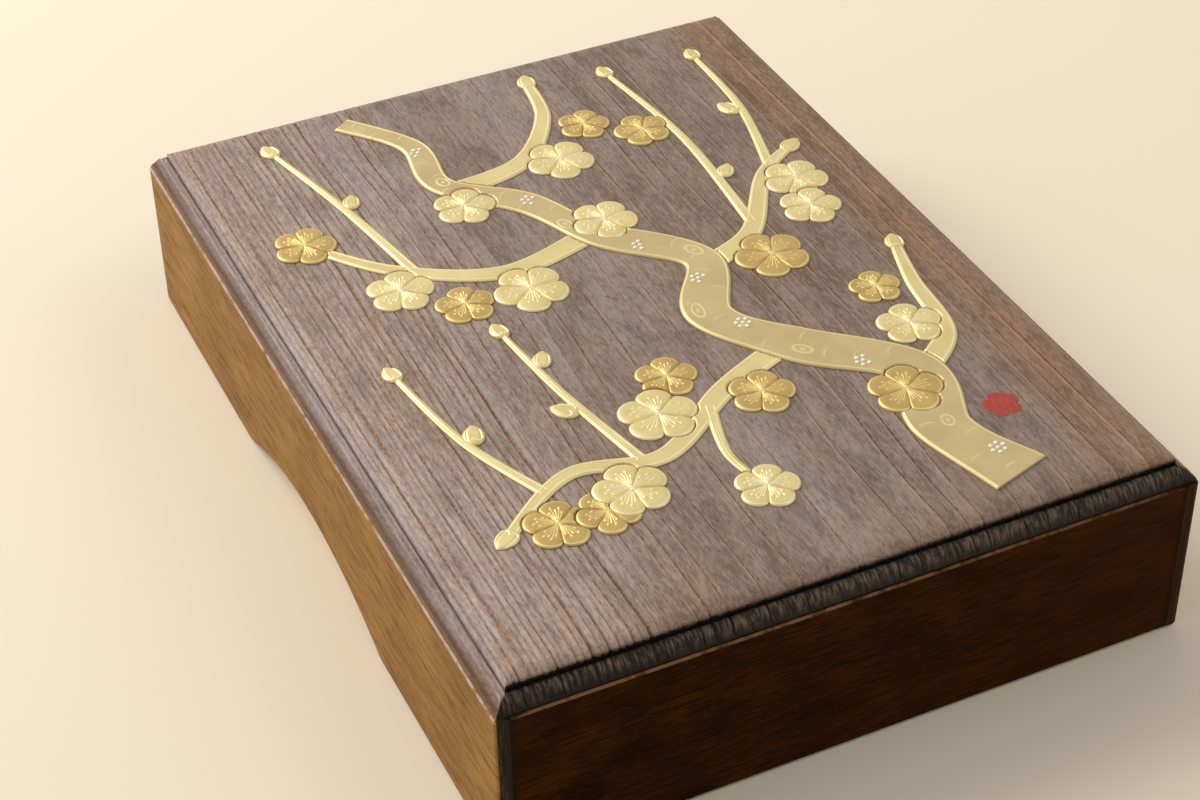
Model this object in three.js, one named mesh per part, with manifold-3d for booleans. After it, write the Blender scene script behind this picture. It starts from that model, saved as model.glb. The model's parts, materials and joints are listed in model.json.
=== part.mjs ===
// A fubako, a Japanese letter box in charred paulownia: a base of five pegged boards under a
// deep lid of five boards, with a raised gold picture of a plum tree on the lid.
// Millimetres. X runs across the width, Y along the length and Z up.
// The origin is the middle of the footprint, at the height of the table.

import * as THREE from "three";
import { mergeVertices } from "three/addons/utils/BufferGeometryUtils.js";
import Module from "manifold-3d";

const wasm = await Module();
wasm.setup();

// The whole box, up to the flat of the lid: the raised picture stands on that
const boxWidth = 260;
const boxLength = 350;
const boxHeight = 75;

// What all boards share
const glueLine = 0.1; // left between two glued faces
const overrun = 3; // how far a cutting shape runs past what it cuts
const arcSteps = 8; // flat faces in a short rounding
const archSteps = 28; // and in the long arc of the finger arch

// The lid's side boards
const lidFloorGap = 1; // from the table up to the lid's lower edge
const lidSideThickness = 8.5;
const lidTongue = 5; // what the corner rebate leaves of a long board's thickness
const lidCornerRadius = 1.8; // on the four upright edges
const lidClearance = 0.8; // between the lid's inner faces and the base, on each side
const lidRest = 0.3; // between the lid's top board and the base's rim

// The finger arch in the lower edge of each long side of the lid
const archChord = 136;
const archRise = 15.5;
const archEarRadius = 6; // rounds the two ends into the lower edge

// The lid's top board, and the moulding round it
const lidTopThickness = 9.4;
const mouldingSetback = 1.1; // from the side boards' outer faces in to the top board's edge
const mouldingWidth = 5.4; // from the top board's edge in to the riser
const mouldingRise = 5.4; // from the underside up to the band at the riser's foot
const riserHeight = 1.8; // the sharp step from that band up to the field
const crownWidth = 12; // from the riser in to the flat of the field
const crownSteps = 6;
const crownPower = 5; // how quickly the field's edge rounds over into the flat

// The moulding's outline, from the board's lower arris to the riser's foot:
// how far in, of the moulding's width, and how far up, of the moulding's rise
const mouldingShares = [
  [0, 0],
  [0, 0.2],
  [0.24, 0.52],
  [0.44, 0.78],
  [0.57, 0.88],
  [0.92, 1],
  [1, 0.94],
];

// The base
const baseWall = 7;
const baseTongue = 3.5; // what the corner rebate leaves of a long board's thickness
const baseBottomThickness = 6;

// The wooden pegs that hold the base together
const pegRadius = 1.4;
const pegFit = 0.15; // clearance round a peg, and past its inner end
const cornerPegLength = 18;
const bottomPegLength = 18;
const pegSides = 12;
const cornerPegHeightShares = [0.2, 0.8]; // of the base wall's height
const longPegShares = [-0.36, 0, 0.36]; // of the base's length
const shortPegShares = [-0.25, 0.25]; // of the base's width

// The raised picture
const trunkWidth = 24;
const boughWidth = 11;
const shootWidth = 5;
const trunkRelief = 1;
const boughRelief = 0.8;
const blossomRelief = 1.2;
const budRelief = 1;
const crestRelief = 0.15;
const reliefGroove = 0.6; // the line left clear round a motif that lies over another
const blossomDiameter = 29;
const budDiameter = 10;
const crestDiameter = 14;
const petals = 5;
const petalDipShare = 0.72; // how deep the notches between petals reach, of the radius
const petalRoundness = 0.55; // below 1, fuller petals
const stepsPerPetal = 6;
const budSides = 16;
const budLengthShare = 1.25; // a bud's length, of its diameter
const branchSteps = 24;
const trunkSteps = 64;
const gnarlCount = 7; // swellings along the trunk
const gnarlShare = 0.07; // how much each swells, of the width

// Each branch of the tree: the node it belongs to, its width at the foot and what is left of
// that at the tip, and its route, as shares of the box's width and length from the middle
const branches = {
  trunk: {
    node: "relief_trunk",
    width: trunkWidth,
    tipShare: 0.38,
    routeShares: [
      [0.275, -0.44],
      [0.235, -0.345],
      [0.265, -0.25],
      [0.15, -0.165],
      [0.075, -0.08],
      [0.125, 0.015],
      [0.02, 0.105],
      [-0.04, 0.195],
      [-0.135, 0.27],
      [-0.135, 0.36],
      [-0.21, 0.44],
    ],
  },
  frontBough: {
    node: "relief_bough_front",
    width: boughWidth,
    tipShare: 0.42,
    routeShares: [
      [0.13, -0.16],
      [0.01, -0.2],
      [-0.12, -0.265],
      [-0.25, -0.25],
      [-0.37, -0.31],
    ],
  },
  frontShootInner: {
    node: "relief_bough_front",
    width: shootWidth,
    tipShare: 0.5,
    routeShares: [
      [-0.15, -0.262],
      [-0.185, -0.13],
      [-0.205, -0.01],
    ],
  },
  frontShootOuter: {
    node: "relief_bough_front",
    width: shootWidth,
    tipShare: 0.5,
    routeShares: [
      [-0.29, -0.266],
      [-0.345, -0.16],
      [-0.375, -0.03],
    ],
  },
  frontTwig: {
    node: "relief_bough_front",
    width: shootWidth,
    tipShare: 0.5,
    routeShares: [
      [-0.02, -0.215],
      [-0.045, -0.29],
      [-0.03, -0.35],
    ],
  },
  rightBough: {
    node: "relief_bough_right",
    width: boughWidth,
    tipShare: 0.4,
    routeShares: [
      [0.115, 0.0],
      [0.22, 0.035],
      [0.31, 0.13],
      [0.385, 0.17],
    ],
  },
  rightShootInner: {
    node: "relief_bough_right",
    width: shootWidth,
    tipShare: 0.5,
    routeShares: [
      [0.235, 0.05],
      [0.25, 0.24],
      [0.225, 0.41],
    ],
  },
  rightShootOuter: {
    node: "relief_bough_right",
    width: shootWidth,
    tipShare: 0.5,
    routeShares: [
      [0.33, 0.142],
      [0.37, 0.27],
      [0.375, 0.4],
    ],
  },
  leftBough: {
    node: "relief_bough_left",
    width: boughWidth,
    tipShare: 0.42,
    routeShares: [
      [0.01, 0.11],
      [-0.14, 0.085],
      [-0.28, 0.14],
      [-0.375, 0.225],
    ],
  },
  leftShoot: {
    node: "relief_bough_left",
    width: shootWidth,
    tipShare: 0.5,
    routeShares: [
      [-0.255, 0.13],
      [-0.29, 0.28],
      [-0.335, 0.42],
    ],
  },
  backBough: {
    node: "relief_bough_back",
    width: boughWidth,
    tipShare: 0.45,
    routeShares: [
      [-0.11, 0.255],
      [0.0, 0.275],
      [0.08, 0.35],
      [0.1, 0.43],
    ],
  },
  edgeBough: {
    node: "relief_bough_edge",
    width: boughWidth,
    tipShare: 0.4,
    routeShares: [
      [0.25, -0.27],
      [0.345, -0.215],
      [0.37, -0.12],
      [0.395, -0.05],
    ],
  },
};

// Each blossom: the branch it grows on, how far along it, on which side and how far out (0 is
// over the middle, 1 touches it, more lies beyond), its size as a share of the full one, and
// its gold. One that comes later in the list lies under those before it.
const blossomShares = [
  ["trunk", 0.61, -1, 0.9, "paleGold"],
  ["trunk", 0.16, 1, 0.95, "darkGold"],
  ["trunk", 0.76, 1, 0.85, "paleGold"],
  ["frontBough", 0.2, 1, 0.85, "darkGold"],
  ["frontBough", 0.38, -1, 1, "paleGold"],
  ["frontBough", 0.27, -1.9, 0.8, "darkGold"],
  ["frontBough", 0.6, 1, 0.95, "paleGold"],
  ["frontBough", 0.73, 2.1, 0.8, "darkGold"],
  ["frontBough", 0.9, 1, 0.85, "darkGold"],
  ["frontTwig", 1, 0, 0.8, "paleGold"],
  ["rightBough", 0.26, -1, 1, "darkGold"],
  ["rightBough", 0.5, -1.7, 0.85, "paleGold"],
  ["rightBough", 0.68, -1, 0.9, "paleGold"],
  ["rightShootInner", 0.6, 1, 0.8, "darkGold"],
  ["leftBough", 0.3, 1, 1, "paleGold"],
  ["leftBough", 0.45, 1.7, 0.8, "darkGold"],
  ["leftBough", 0.62, 1, 0.9, "paleGold"],
  ["leftBough", 1, 0, 0.85, "darkGold"],
  ["backBough", 0.4, -1, 0.95, "paleGold"],
  ["backBough", 0.62, -1.6, 0.75, "darkGold"],
  ["edgeBough", 0.42, 1, 0.85, "paleGold"],
  ["edgeBough", 0.66, 1.5, 0.7, "darkGold"],
];

// Each bud, in the same way but all of the boughs' own gold
const budShares = [
  ["frontShootInner", 0.4, 1, 1],
  ["frontShootInner", 0.7, -1, 0.9],
  ["frontShootInner", 1, 0, 0.9],
  ["frontShootOuter", 0.5, -1, 1],
  ["frontShootOuter", 1, 0, 0.9],
  ["frontBough", 1, 0, 1],
  ["rightShootInner", 0.3, -1, 0.9],
  ["rightShootInner", 1, 0, 0.9],
  ["rightShootOuter", 0.5, 1, 1],
  ["rightShootOuter", 1, 0, 0.9],
  ["rightBough", 1, 0, 1],
  ["leftShoot", 0.5, -1, 0.9],
  ["leftShoot", 1, 0, 0.95],
  ["backBough", 1, 0, 1],
  ["edgeBough", 1, 0, 0.95],
];
const crestPlaceShares = [0.33, -0.34]; // of the box's width and length
const trunkOverlapShare = 0.28; // how much of the trunk's width a blossom may cover
const branchOverlapShare = 0.14; // and of a bough's or a shoot's
const budOverlapShare = 0.45; // how much of a bud's radius grows into its branch

// What follows from these sizes
const lidUnderside = boxHeight - lidTopThickness;
const lidSideTop = lidUnderside - glueLine;
const lidSideHeight = lidSideTop - lidFloorGap;
const baseInset = lidSideThickness + lidClearance;
const baseWidth = boxWidth - 2 * baseInset;
const baseLength = boxLength - 2 * baseInset;
const baseWallFoot = baseBottomThickness + glueLine;
const baseRim = lidUnderside - lidRest;
const baseWallHeight = baseRim - baseWallFoot;

// Finishes
const finish = (color, roughness, metalness = 0) =>
  new THREE.MeshStandardMaterial({ color, roughness, metalness });
const finishes = {
  charredTop: () => finish(0x7d6c68, 0.55),
  charredSide: () => finish(0x5a3f2a, 0.6),
  bareWood: () => finish(0xc9a678, 0.7),
  pegWood: () => finish(0xe0c79a, 0.7),
  oliveGold: () => finish(0xb7a673, 0.45, 0.6),
  paleGold: () => finish(0xe8de98, 0.35, 0.8),
  darkGold: () => finish(0xc9a85a, 0.35, 0.8),
  vermilion: () => finish(0xa82a20, 0.6),
};

const box = new THREE.Group();

function add(name, geometry, kind) {
  const mesh = new THREE.Mesh(geometry, finishes[kind]());
  mesh.name = name;
  box.add(mesh);
}

// A geometry as a solid that can be joined and cut
function solidOf(geometry) {
  const bare = geometry.index ? geometry.toNonIndexed() : geometry.clone();
  bare.deleteAttribute("normal");
  bare.deleteAttribute("uv");
  const merged = mergeVertices(bare);
  return new wasm.Manifold(
    new wasm.Mesh({
      numProp: 3,
      vertProperties: merged.attributes.position.array,
      triVerts: new Uint32Array(merged.index.array),
    }),
  );
}

// And back again
function geometryOf(solid) {
  const mesh = solid.getMesh();
  const geometry = new THREE.BufferGeometry();
  geometry.setAttribute("position", new THREE.BufferAttribute(mesh.vertProperties, 3));
  geometry.setIndex(new THREE.BufferAttribute(mesh.triVerts, 1));
  geometry.computeVertexNormals();
  return geometry;
}

// A block given by its lowest and highest corners
function block(low, high) {
  const size = high.map((value, i) => value - low[i]);
  const middle = high.map((value, i) => (value + low[i]) / 2);
  return new THREE.BoxGeometry(...size).translate(...middle);
}

// A flat outline raised from one height to another
function raised(outline, foot, top, curveSegments = arcSteps) {
  const options = { depth: top - foot, bevelEnabled: false, curveSegments };
  return new THREE.ExtrudeGeometry(outline, options).translate(0, 0, foot);
}

// The lid's plan, with its four corners rounded
function lidPlan() {
  const [x, y, r] = [boxWidth / 2, boxLength / 2, lidCornerRadius];
  const plan = new THREE.Shape();
  plan.absarc(x - r, y - r, r, 0, Math.PI / 2, false);
  plan.absarc(r - x, y - r, r, Math.PI / 2, Math.PI, false);
  plan.absarc(r - x, r - y, r, Math.PI, 1.5 * Math.PI, false);
  plan.absarc(x - r, r - y, r, 1.5 * Math.PI, 2 * Math.PI, false);
  return plan;
}

// A long side of the lid seen from outside: a rectangle whose lower edge is lifted into a
// shallow arch. The arch is part of one circle, and a small circle rounds each of its ends.
function archedOutline() {
  const end = boxLength / 2;
  const radius = (archChord * archChord) / (8 * archRise) + archRise / 2;
  const centreHeight = lidFloorGap + archRise - radius;
  const earHeight = lidFloorGap + archEarRadius;
  const earPlace = Math.sqrt((radius + archEarRadius) ** 2 - (earHeight - centreHeight) ** 2);
  const turn = Math.atan2(earHeight - centreHeight, earPlace);
  const outline = new THREE.Shape();
  outline.moveTo(end, lidSideTop);
  outline.lineTo(-end, lidSideTop);
  outline.lineTo(-end, lidFloorGap);
  outline.absarc(-earPlace, earHeight, archEarRadius, -Math.PI / 2, -turn, false);
  outline.absarc(0, centreHeight, radius, Math.PI - turn, turn, true);
  outline.absarc(earPlace, earHeight, archEarRadius, Math.PI + turn, 1.5 * Math.PI, false);
  outline.lineTo(end, lidFloorGap);
  return outline;
}

// The rebates at both ends of a long board, which the short boards sit in. side is -1 for the
// left board and 1 for the right one.
function cornerRebates(side, outerWidth, outerLength, tongue, shortThickness) {
  const shoulder = side * (outerWidth / 2 - tongue);
  const past = shoulder - side * (outerWidth / 2);
  const start = outerLength / 2 - shortThickness - glueLine;
  return [-1, 1].map((end) =>
    solidOf(
      block(
        [Math.min(shoulder, past), Math.min(end * start, end * (start + outerLength)), -overrun],
        [Math.max(shoulder, past), Math.max(end * start, end * (start + outerLength)), boxHeight],
      ),
    ),
  );
}

// The lid's four sides
function addLidSides() {
  const plan = solidOf(raised(lidPlan(), -overrun, boxHeight + overrun));
  const standUp = new THREE.Matrix4().makeBasis(
    new THREE.Vector3(0, 1, 0),
    new THREE.Vector3(0, 0, 1),
    new THREE.Vector3(1, 0, 0),
  );
  for (const [name, side] of [["left", -1], ["right", 1]]) {
    const inner = side * (boxWidth / 2 - lidSideThickness);
    const outer = side * (boxWidth / 2);
    const arched = raised(archedOutline(), Math.min(inner, outer), Math.max(inner, outer), archSteps);
    let board = solidOf(arched.applyMatrix4(standUp)).intersect(plan);
    for (const cut of cornerRebates(side, boxWidth, boxLength, lidTongue, lidSideThickness)) {
      board = board.subtract(cut);
    }
    add("lid_long_side_" + name, geometryOf(board), "charredSide");
  }
  const reach = boxWidth / 2 - lidTongue - glueLine;
  for (const [name, end] of [["front", -1], ["back", 1]]) {
    const inner = end * (boxLength / 2 - lidSideThickness);
    const outer = end * (boxLength / 2);
    const low = [-reach, Math.min(inner, outer), lidFloorGap];
    const high = [reach, Math.max(inner, outer), lidSideTop];
    add("lid_short_side_" + name, block(low, high), "charredSide");
  }
}

// The lid's top board: a stack of rectangles, each lying further in and higher than the last,
// as the moulding's outline says, joined by flat strips that meet in mitres at the corners
function addLidTop() {
  const rings = mouldingShares.map(([inShare, upShare]) => [
    inShare * mouldingWidth,
    upShare * mouldingRise,
  ]);
  const crownFoot = mouldingRise + riserHeight;
  const crownRise = lidTopThickness - crownFoot;
  for (let step = 0; step <= crownSteps; step += 1) {
    const share = (step / crownSteps) ** 2;
    const drop = crownRise * (1 - share) ** crownPower;
    rings.push([mouldingWidth + share * crownWidth, lidTopThickness - drop]);
  }
  const corners = [[-1, -1], [1, -1], [1, 1], [-1, 1]];
  const points = [];
  for (const [inset, height] of rings) {
    const x = boxWidth / 2 - mouldingSetback - inset;
    const y = boxLength / 2 - mouldingSetback - inset;
    for (const [sx, sy] of corners) {
      points.push(sx * x, sy * y, lidUnderside + height);
    }
  }
  const last = 4 * (rings.length - 1);
  const faces = [0, 2, 1, 0, 3, 2, last, last + 1, last + 2, last, last + 2, last + 3];
  for (let ring = 0; ring < last; ring += 4) {
    for (let i = 0; i < 4; i += 1) {
      const [a, b] = [ring + i, ring + ((i + 1) % 4)];
      faces.push(a, b, b + 4, a, b + 4, a + 4);
    }
  }
  const geometry = new THREE.BufferGeometry();
  geometry.setAttribute("position", new THREE.Float32BufferAttribute(points, 3));
  geometry.setIndex(faces);
  geometry.computeVertexNormals();
  add("lid_top_board", geometry, "charredTop");
}

// The pegs: each has its name, its outer end, the direction it is driven in and its length
function pegPlaces() {
  const places = [];
  for (const [endName, end] of [["front", -1], ["back", 1]]) {
    for (const [sideName, side] of [["left", -1], ["right", 1]]) {
      cornerPegHeightShares.forEach((share, i) => {
        places.push({
          name: `peg_corner_${endName}_${sideName}_${i + 1}`,
          foot: [
            (side * baseWidth) / 2,
            end * (baseLength / 2 - baseWall / 2),
            baseWallFoot + share * baseWallHeight,
          ],
          way: [-side, 0, 0],
          length: cornerPegLength,
        });
      });
    }
  }
  for (const [sideName, side] of [["left", -1], ["right", 1]]) {
    longPegShares.forEach((share, i) => {
      places.push({
        name: `peg_bottom_${sideName}_${i + 1}`,
        foot: [side * (baseWidth / 2 - baseWall / 2), share * baseLength, 0],
        way: [0, 0, 1],
        length: bottomPegLength,
      });
    });
  }
  for (const [endName, end] of [["front", -1], ["back", 1]]) {
    shortPegShares.forEach((share, i) => {
      places.push({
        name: `peg_bottom_${endName}_${i + 1}`,
        foot: [share * baseWidth, end * (baseLength / 2 - baseWall / 2), 0],
        way: [0, 0, 1],
        length: bottomPegLength,
      });
    });
  }
  return places;
}

// A round rod from a peg's outer end inwards. before lengthens it outwards.
function rod(place, radius, length, before) {
  const rodLength = length + before;
  const geometry = new THREE.CylinderGeometry(radius, radius, rodLength, pegSides);
  geometry.translate(0, rodLength / 2 - before, 0);
  const up = new THREE.Vector3(0, 1, 0);
  geometry.applyQuaternion(new THREE.Quaternion().setFromUnitVectors(up, new THREE.Vector3(...place.way)));
  return geometry.translate(...place.foot);
}

// The base: four walls and a bottom board, drilled for their pegs
function addBase() {
  const boards = {};
  for (const [name, side] of [["left", -1], ["right", 1]]) {
    const inner = side * (baseWidth / 2 - baseWall);
    const outer = side * (baseWidth / 2);
    const low = [Math.min(inner, outer), -baseLength / 2, baseWallFoot];
    const high = [Math.max(inner, outer), baseLength / 2, baseRim];
    let board = solidOf(block(low, high));
    for (const cut of cornerRebates(side, baseWidth, baseLength, baseTongue, baseWall)) {
      board = board.subtract(cut);
    }
    boards["base_long_side_" + name] = board;
  }
  const reach = baseWidth / 2 - baseTongue - glueLine;
  for (const [name, end] of [["front", -1], ["back", 1]]) {
    const inner = end * (baseLength / 2 - baseWall);
    const outer = end * (baseLength / 2);
    const low = [-reach, Math.min(inner, outer), baseWallFoot];
    const high = [reach, Math.max(inner, outer), baseRim];
    boards["base_short_side_" + name] = solidOf(block(low, high));
  }
  const low = [-baseWidth / 2, -baseLength / 2, 0];
  const high = [baseWidth / 2, baseLength / 2, baseBottomThickness];
  boards.base_bottom_board = solidOf(block(low, high));
  const pegs = pegPlaces();
  for (const [name, board] of Object.entries(boards)) {
    let drilled = board;
    for (const peg of pegs) {
      const hole = solidOf(rod(peg, pegRadius + pegFit, peg.length + pegFit, overrun));
      drilled = drilled.subtract(hole);
    }
    add(name, geometryOf(drilled), "bareWood");
  }
  for (const peg of pegs) {
    add(peg.name, rod(peg, pegRadius, peg.length, 0), "pegWood");
  }
}

// Where a branch runs, how wide it is and which way is to its left, at a share of its length
function onBranch(branch, along) {
  const points = branch.routeShares.map(
    ([x, y]) => new THREE.Vector2(x * boxWidth, y * boxLength),
  );
  const route = new THREE.SplineCurve(points);
  const way = route.getTangent(along);
  const gnarl = branch === branches.trunk ? gnarlShare * Math.cos(2 * Math.PI * gnarlCount * along) : 0;
  return {
    place: route.getPoint(along),
    left: new THREE.Vector2(-way.y, way.x),
    width: branch.width * (1 + (branch.tipShare - 1) * along) * (1 + gnarl),
  };
}

// A branch's outline: up its left side and back down its right
function branchOutline(branch, margin) {
  const left = [];
  const right = [];
  const steps = branch === branches.trunk ? trunkSteps : branchSteps;
  for (let step = 0; step <= steps; step += 1) {
    const at = onBranch(branch, step / steps);
    const half = at.width / 2 + margin;
    left.push(at.place.clone().addScaledVector(at.left, half));
    right.unshift(at.place.clone().addScaledVector(at.left, -half));
  }
  return new THREE.Shape([...right.reverse(), ...left.reverse()]);
}

// A blossom's outline: a circle whose radius dips between the petals
function blossomOutline(place, radius, turn) {
  const count = petals * stepsPerPetal;
  const points = [];
  for (let step = 0; step < count; step += 1) {
    const angle = (2 * Math.PI * step) / count;
    const fullness = Math.abs(Math.cos((petals * angle) / 2)) ** petalRoundness;
    const reach = radius * (petalDipShare + (1 - petalDipShare) * fullness);
    points.push(
      new THREE.Vector2(reach * Math.cos(angle + turn), reach * Math.sin(angle + turn)).add(place),
    );
  }
  return new THREE.Shape(points);
}

// A bud's outline: an oval along the branch
function budOutline(place, radius, turn) {
  const outline = new THREE.Shape();
  outline.absellipse(place.x, place.y, budLengthShare * radius, radius, 0, 2 * Math.PI, false, turn);
  return outline;
}

// Where a blossom lies: over its branch's middle, or beside it, covering a little of it
function blossomPlace([branchName, along, side, sizeShare]) {
  const branch = branches[branchName];
  const at = onBranch(branch, along);
  const radius = (sizeShare * blossomDiameter) / 2;
  const overlap = branch === branches.trunk ? trunkOverlapShare : branchOverlapShare;
  const offset = side * (radius + reliefGroove - overlap * at.width);
  const place = at.place.clone().addScaledVector(at.left, offset);
  return { place, radius, turn: Math.atan2(-at.left.x, at.left.y) };
}

// Where a bud lies: over its branch's tip, or beside it and grown into it
function budPlace([branchName, along, side, sizeShare]) {
  const at = onBranch(branches[branchName], along);
  const radius = (sizeShare * budDiameter) / 2;
  const offset = side * (at.width / 2 + (1 - budOverlapShare) * radius);
  const place = at.place.clone().addScaledVector(at.left, offset);
  return { place, radius, turn: Math.atan2(-at.left.x, at.left.y) };
}

// The raised picture. A blossom lies over the trunk and the boughs, and the trunk over the
// boughs, and each stands clear of what it lies over by a fine groove.
function addPicture() {
  const foot = boxHeight + glueLine;
  const standing = (outline, relief) => solidOf(raised(outline, foot, foot + relief, budSides));
  const cutter = (outline) => solidOf(raised(outline, boxHeight - overrun, foot + overrun));
  const blossomCuts = [];
  blossomShares.forEach((row, i) => {
    const { place, radius, turn } = blossomPlace(row);
    let solid = standing(blossomOutline(place, radius, turn), blossomRelief);
    for (const cut of blossomCuts) {
      solid = solid.subtract(cut);
    }
    blossomCuts.push(cutter(blossomOutline(place, radius + reliefGroove, turn)));
    add(`relief_blossom_${i + 1}`, geometryOf(solid), row.at(-1));
  });
  const joined = {};
  const join = (node, solid) => {
    joined[node] = joined[node] ? joined[node].add(solid) : solid;
  };
  for (const branch of Object.values(branches)) {
    const relief = branch === branches.trunk ? trunkRelief : boughRelief;
    join(branch.node, standing(branchOutline(branch, 0), relief));
  }
  for (const row of budShares) {
    const { place, radius, turn } = budPlace(row);
    join(branches[row[0]].node, standing(budOutline(place, radius, turn), budRelief));
  }
  const trunkCut = cutter(branchOutline(branches.trunk, reliefGroove));
  for (const [node, whole] of Object.entries(joined)) {
    const isTrunk = node === branches.trunk.node;
    let solid = isTrunk ? whole : whole.subtract(trunkCut);
    for (const cut of blossomCuts) {
      solid = solid.subtract(cut);
    }
    add(node, geometryOf(solid), isTrunk ? "oliveGold" : "paleGold");
  }
  const [x, y] = crestPlaceShares;
  const crestPlace = new THREE.Vector2(x * boxWidth, y * boxLength);
  const crest = blossomOutline(crestPlace, crestDiameter / 2, Math.PI / 2);
  add("relief_crest", geometryOf(standing(crest, crestRelief)), "vermilion");
}

addLidTop();
addLidSides();
addBase();
addPicture();

export default box;
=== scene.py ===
# %% [markdown]
# # A charred paulownia letter box
# The box in this lesson is a fubako, which holds letters and paper on a desk. Its deep lid comes
# down over the base nearly to the table, and the lid's top board carries a raised gold plum tree.
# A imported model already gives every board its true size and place, so the work here is all in
# the surfaces: wood that was scorched and brushed along its grain, end grain that stayed dark,
# and lacquer built up by hand.

import json

import bpy
import numpy as np
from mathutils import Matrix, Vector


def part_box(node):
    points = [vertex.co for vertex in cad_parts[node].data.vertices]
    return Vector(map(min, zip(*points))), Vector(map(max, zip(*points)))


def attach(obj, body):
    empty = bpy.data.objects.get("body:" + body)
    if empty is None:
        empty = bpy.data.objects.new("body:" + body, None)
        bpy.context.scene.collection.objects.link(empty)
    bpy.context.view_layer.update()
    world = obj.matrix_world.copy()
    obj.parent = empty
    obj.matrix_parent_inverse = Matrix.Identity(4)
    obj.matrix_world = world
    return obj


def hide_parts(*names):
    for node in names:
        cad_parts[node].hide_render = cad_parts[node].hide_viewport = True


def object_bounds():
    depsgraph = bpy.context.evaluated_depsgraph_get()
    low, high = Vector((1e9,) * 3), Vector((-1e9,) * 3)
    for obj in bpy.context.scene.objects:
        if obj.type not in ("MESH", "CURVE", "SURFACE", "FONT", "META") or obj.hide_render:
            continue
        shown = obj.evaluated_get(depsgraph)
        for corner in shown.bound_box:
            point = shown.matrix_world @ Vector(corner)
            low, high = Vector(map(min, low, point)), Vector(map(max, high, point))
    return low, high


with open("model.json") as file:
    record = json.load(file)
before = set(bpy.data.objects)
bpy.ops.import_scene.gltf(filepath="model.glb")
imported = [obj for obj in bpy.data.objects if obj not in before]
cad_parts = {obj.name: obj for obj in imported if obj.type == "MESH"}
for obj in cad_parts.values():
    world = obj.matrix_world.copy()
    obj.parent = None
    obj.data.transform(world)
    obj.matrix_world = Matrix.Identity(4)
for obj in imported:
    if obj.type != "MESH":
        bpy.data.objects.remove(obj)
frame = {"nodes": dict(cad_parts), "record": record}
cad_low, cad_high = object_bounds()
MM = 0.001
print("frame, in mm:", [round(value / MM, 1) for value in cad_high - cad_low])

# %% [markdown]
# ## Grids become meshes
# Every new piece in this lesson is a grid of points worked out with numpy, because a formula for
# a surface is short, exact and easy to change. A grid has rows and columns, so its faces follow
# from counting alone. Faces have to look outwards. A closed surface whose volume comes out
# negative is inside out, and its faces are then listed the other way round.

# %% From a grid to faces
def grid_faces(rows, columns, join_columns, first=0):
    """Each cell's four corners: a point, the one in the next row, the one across, and the one
    in the next column. Joined columns wrap round from the last to the first."""
    row = np.arange(rows - 1)
    column = np.arange(columns if join_columns else columns - 1)
    row, column = np.meshgrid(row, column, indexing="ij")
    after = (column + 1) % columns
    cells = [row * columns + column, (row + 1) * columns + column,
             (row + 1) * columns + after, row * columns + after]
    return first + np.stack(cells, axis=-1).reshape(-1, 4)


def shell_faces(rows, columns, join_columns, first=0):
    """A grid's cells and what closes it: a cap at each end where the columns are joined, and
    otherwise one face round the whole edge."""
    number = first + np.arange(rows * columns).reshape(rows, columns)
    cells = grid_faces(rows, columns, join_columns, first)
    if join_columns:
        return [cells, number[:1], number[-1:, ::-1]]
    rim = [number[0, :-1], number[:-1, -1], number[-1, :0:-1], number[:0:-1, 0]]
    return [cells, np.concatenate(rim)[None, ::-1]]


def signed_volume(points, faces):
    """A sixth of the sum, over each face's fan of triangles, of a . (b x c)."""
    total = 0.0
    for face in faces:
        for corner in range(1, face.shape[1] - 1):
            a, b, c = points[face[:, 0]], points[face[:, corner]], points[face[:, corner + 1]]
            total += np.einsum("ij,ij->", a, np.cross(b, c))
    return total / 6


square = shell_faces(2, 2, False)
print("a grid of two by two points:", sum(len(face) for face in square), "faces, back and front")

# %% From faces to a piece
# degrees past which a fold keeps its hard edge
PLAIN_FOLD, BOARD_FOLD, GOLD_FOLD = 35, 50, 60


def put_in_scene(name, data):
    """A new object in the scene that shows a mesh, a lamp or a camera."""
    shown = bpy.data.objects.new(name, data)
    bpy.context.scene.collection.objects.link(shown)
    return shown


def make_piece(name, points, faces, body, materials, stands_for=(), masks=None, picks=None,
               fold=PLAIN_FOLD):
    """A mesh from points in metres and a list of face arrays, riding on a body of the frame.
    masks are numbers for each point that its materials read; picks choose each face's material."""
    if signed_volume(points, faces) < 0:
        faces = [face[:, ::-1] for face in faces]
    corners = np.concatenate([face.ravel() for face in faces]).astype(np.int32)
    sides = np.concatenate([np.full(len(face), face.shape[1]) for face in faces])
    starts = np.concatenate([[0], np.cumsum(sides)[:-1]]).astype(np.int32)
    mesh = bpy.data.meshes.new(name)
    mesh.vertices.add(len(points))
    mesh.vertices.foreach_set("co", points.astype(np.float32).ravel())
    mesh.loops.add(len(corners))
    mesh.loops.foreach_set("vertex_index", corners)
    mesh.polygons.add(len(sides))
    mesh.polygons.foreach_set("loop_start", starts)
    mesh.update(calc_edges=True)
    mesh.validate()
    mesh.shade_smooth()
    mesh.set_sharp_from_angle(angle=np.radians(fold))
    for mask, values in (masks or {}).items():
        attribute = mesh.attributes.new(mask, "FLOAT", "POINT")
        attribute.data.foreach_set("value", np.asarray(values, np.float32).ravel())
    for material in materials:
        mesh.materials.append(material)
    if picks is not None:
        mesh.polygons.foreach_set("material_index", np.asarray(picks, np.int32))
    piece = put_in_scene(name, mesh)
    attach(piece, body)
    if stands_for:
        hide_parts(*stands_for)
    print(f"{name}: {len(points)} points, {len(sides)} faces")
    return piece


print("a board's folds stay hard past", BOARD_FOLD, "degrees")

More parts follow.
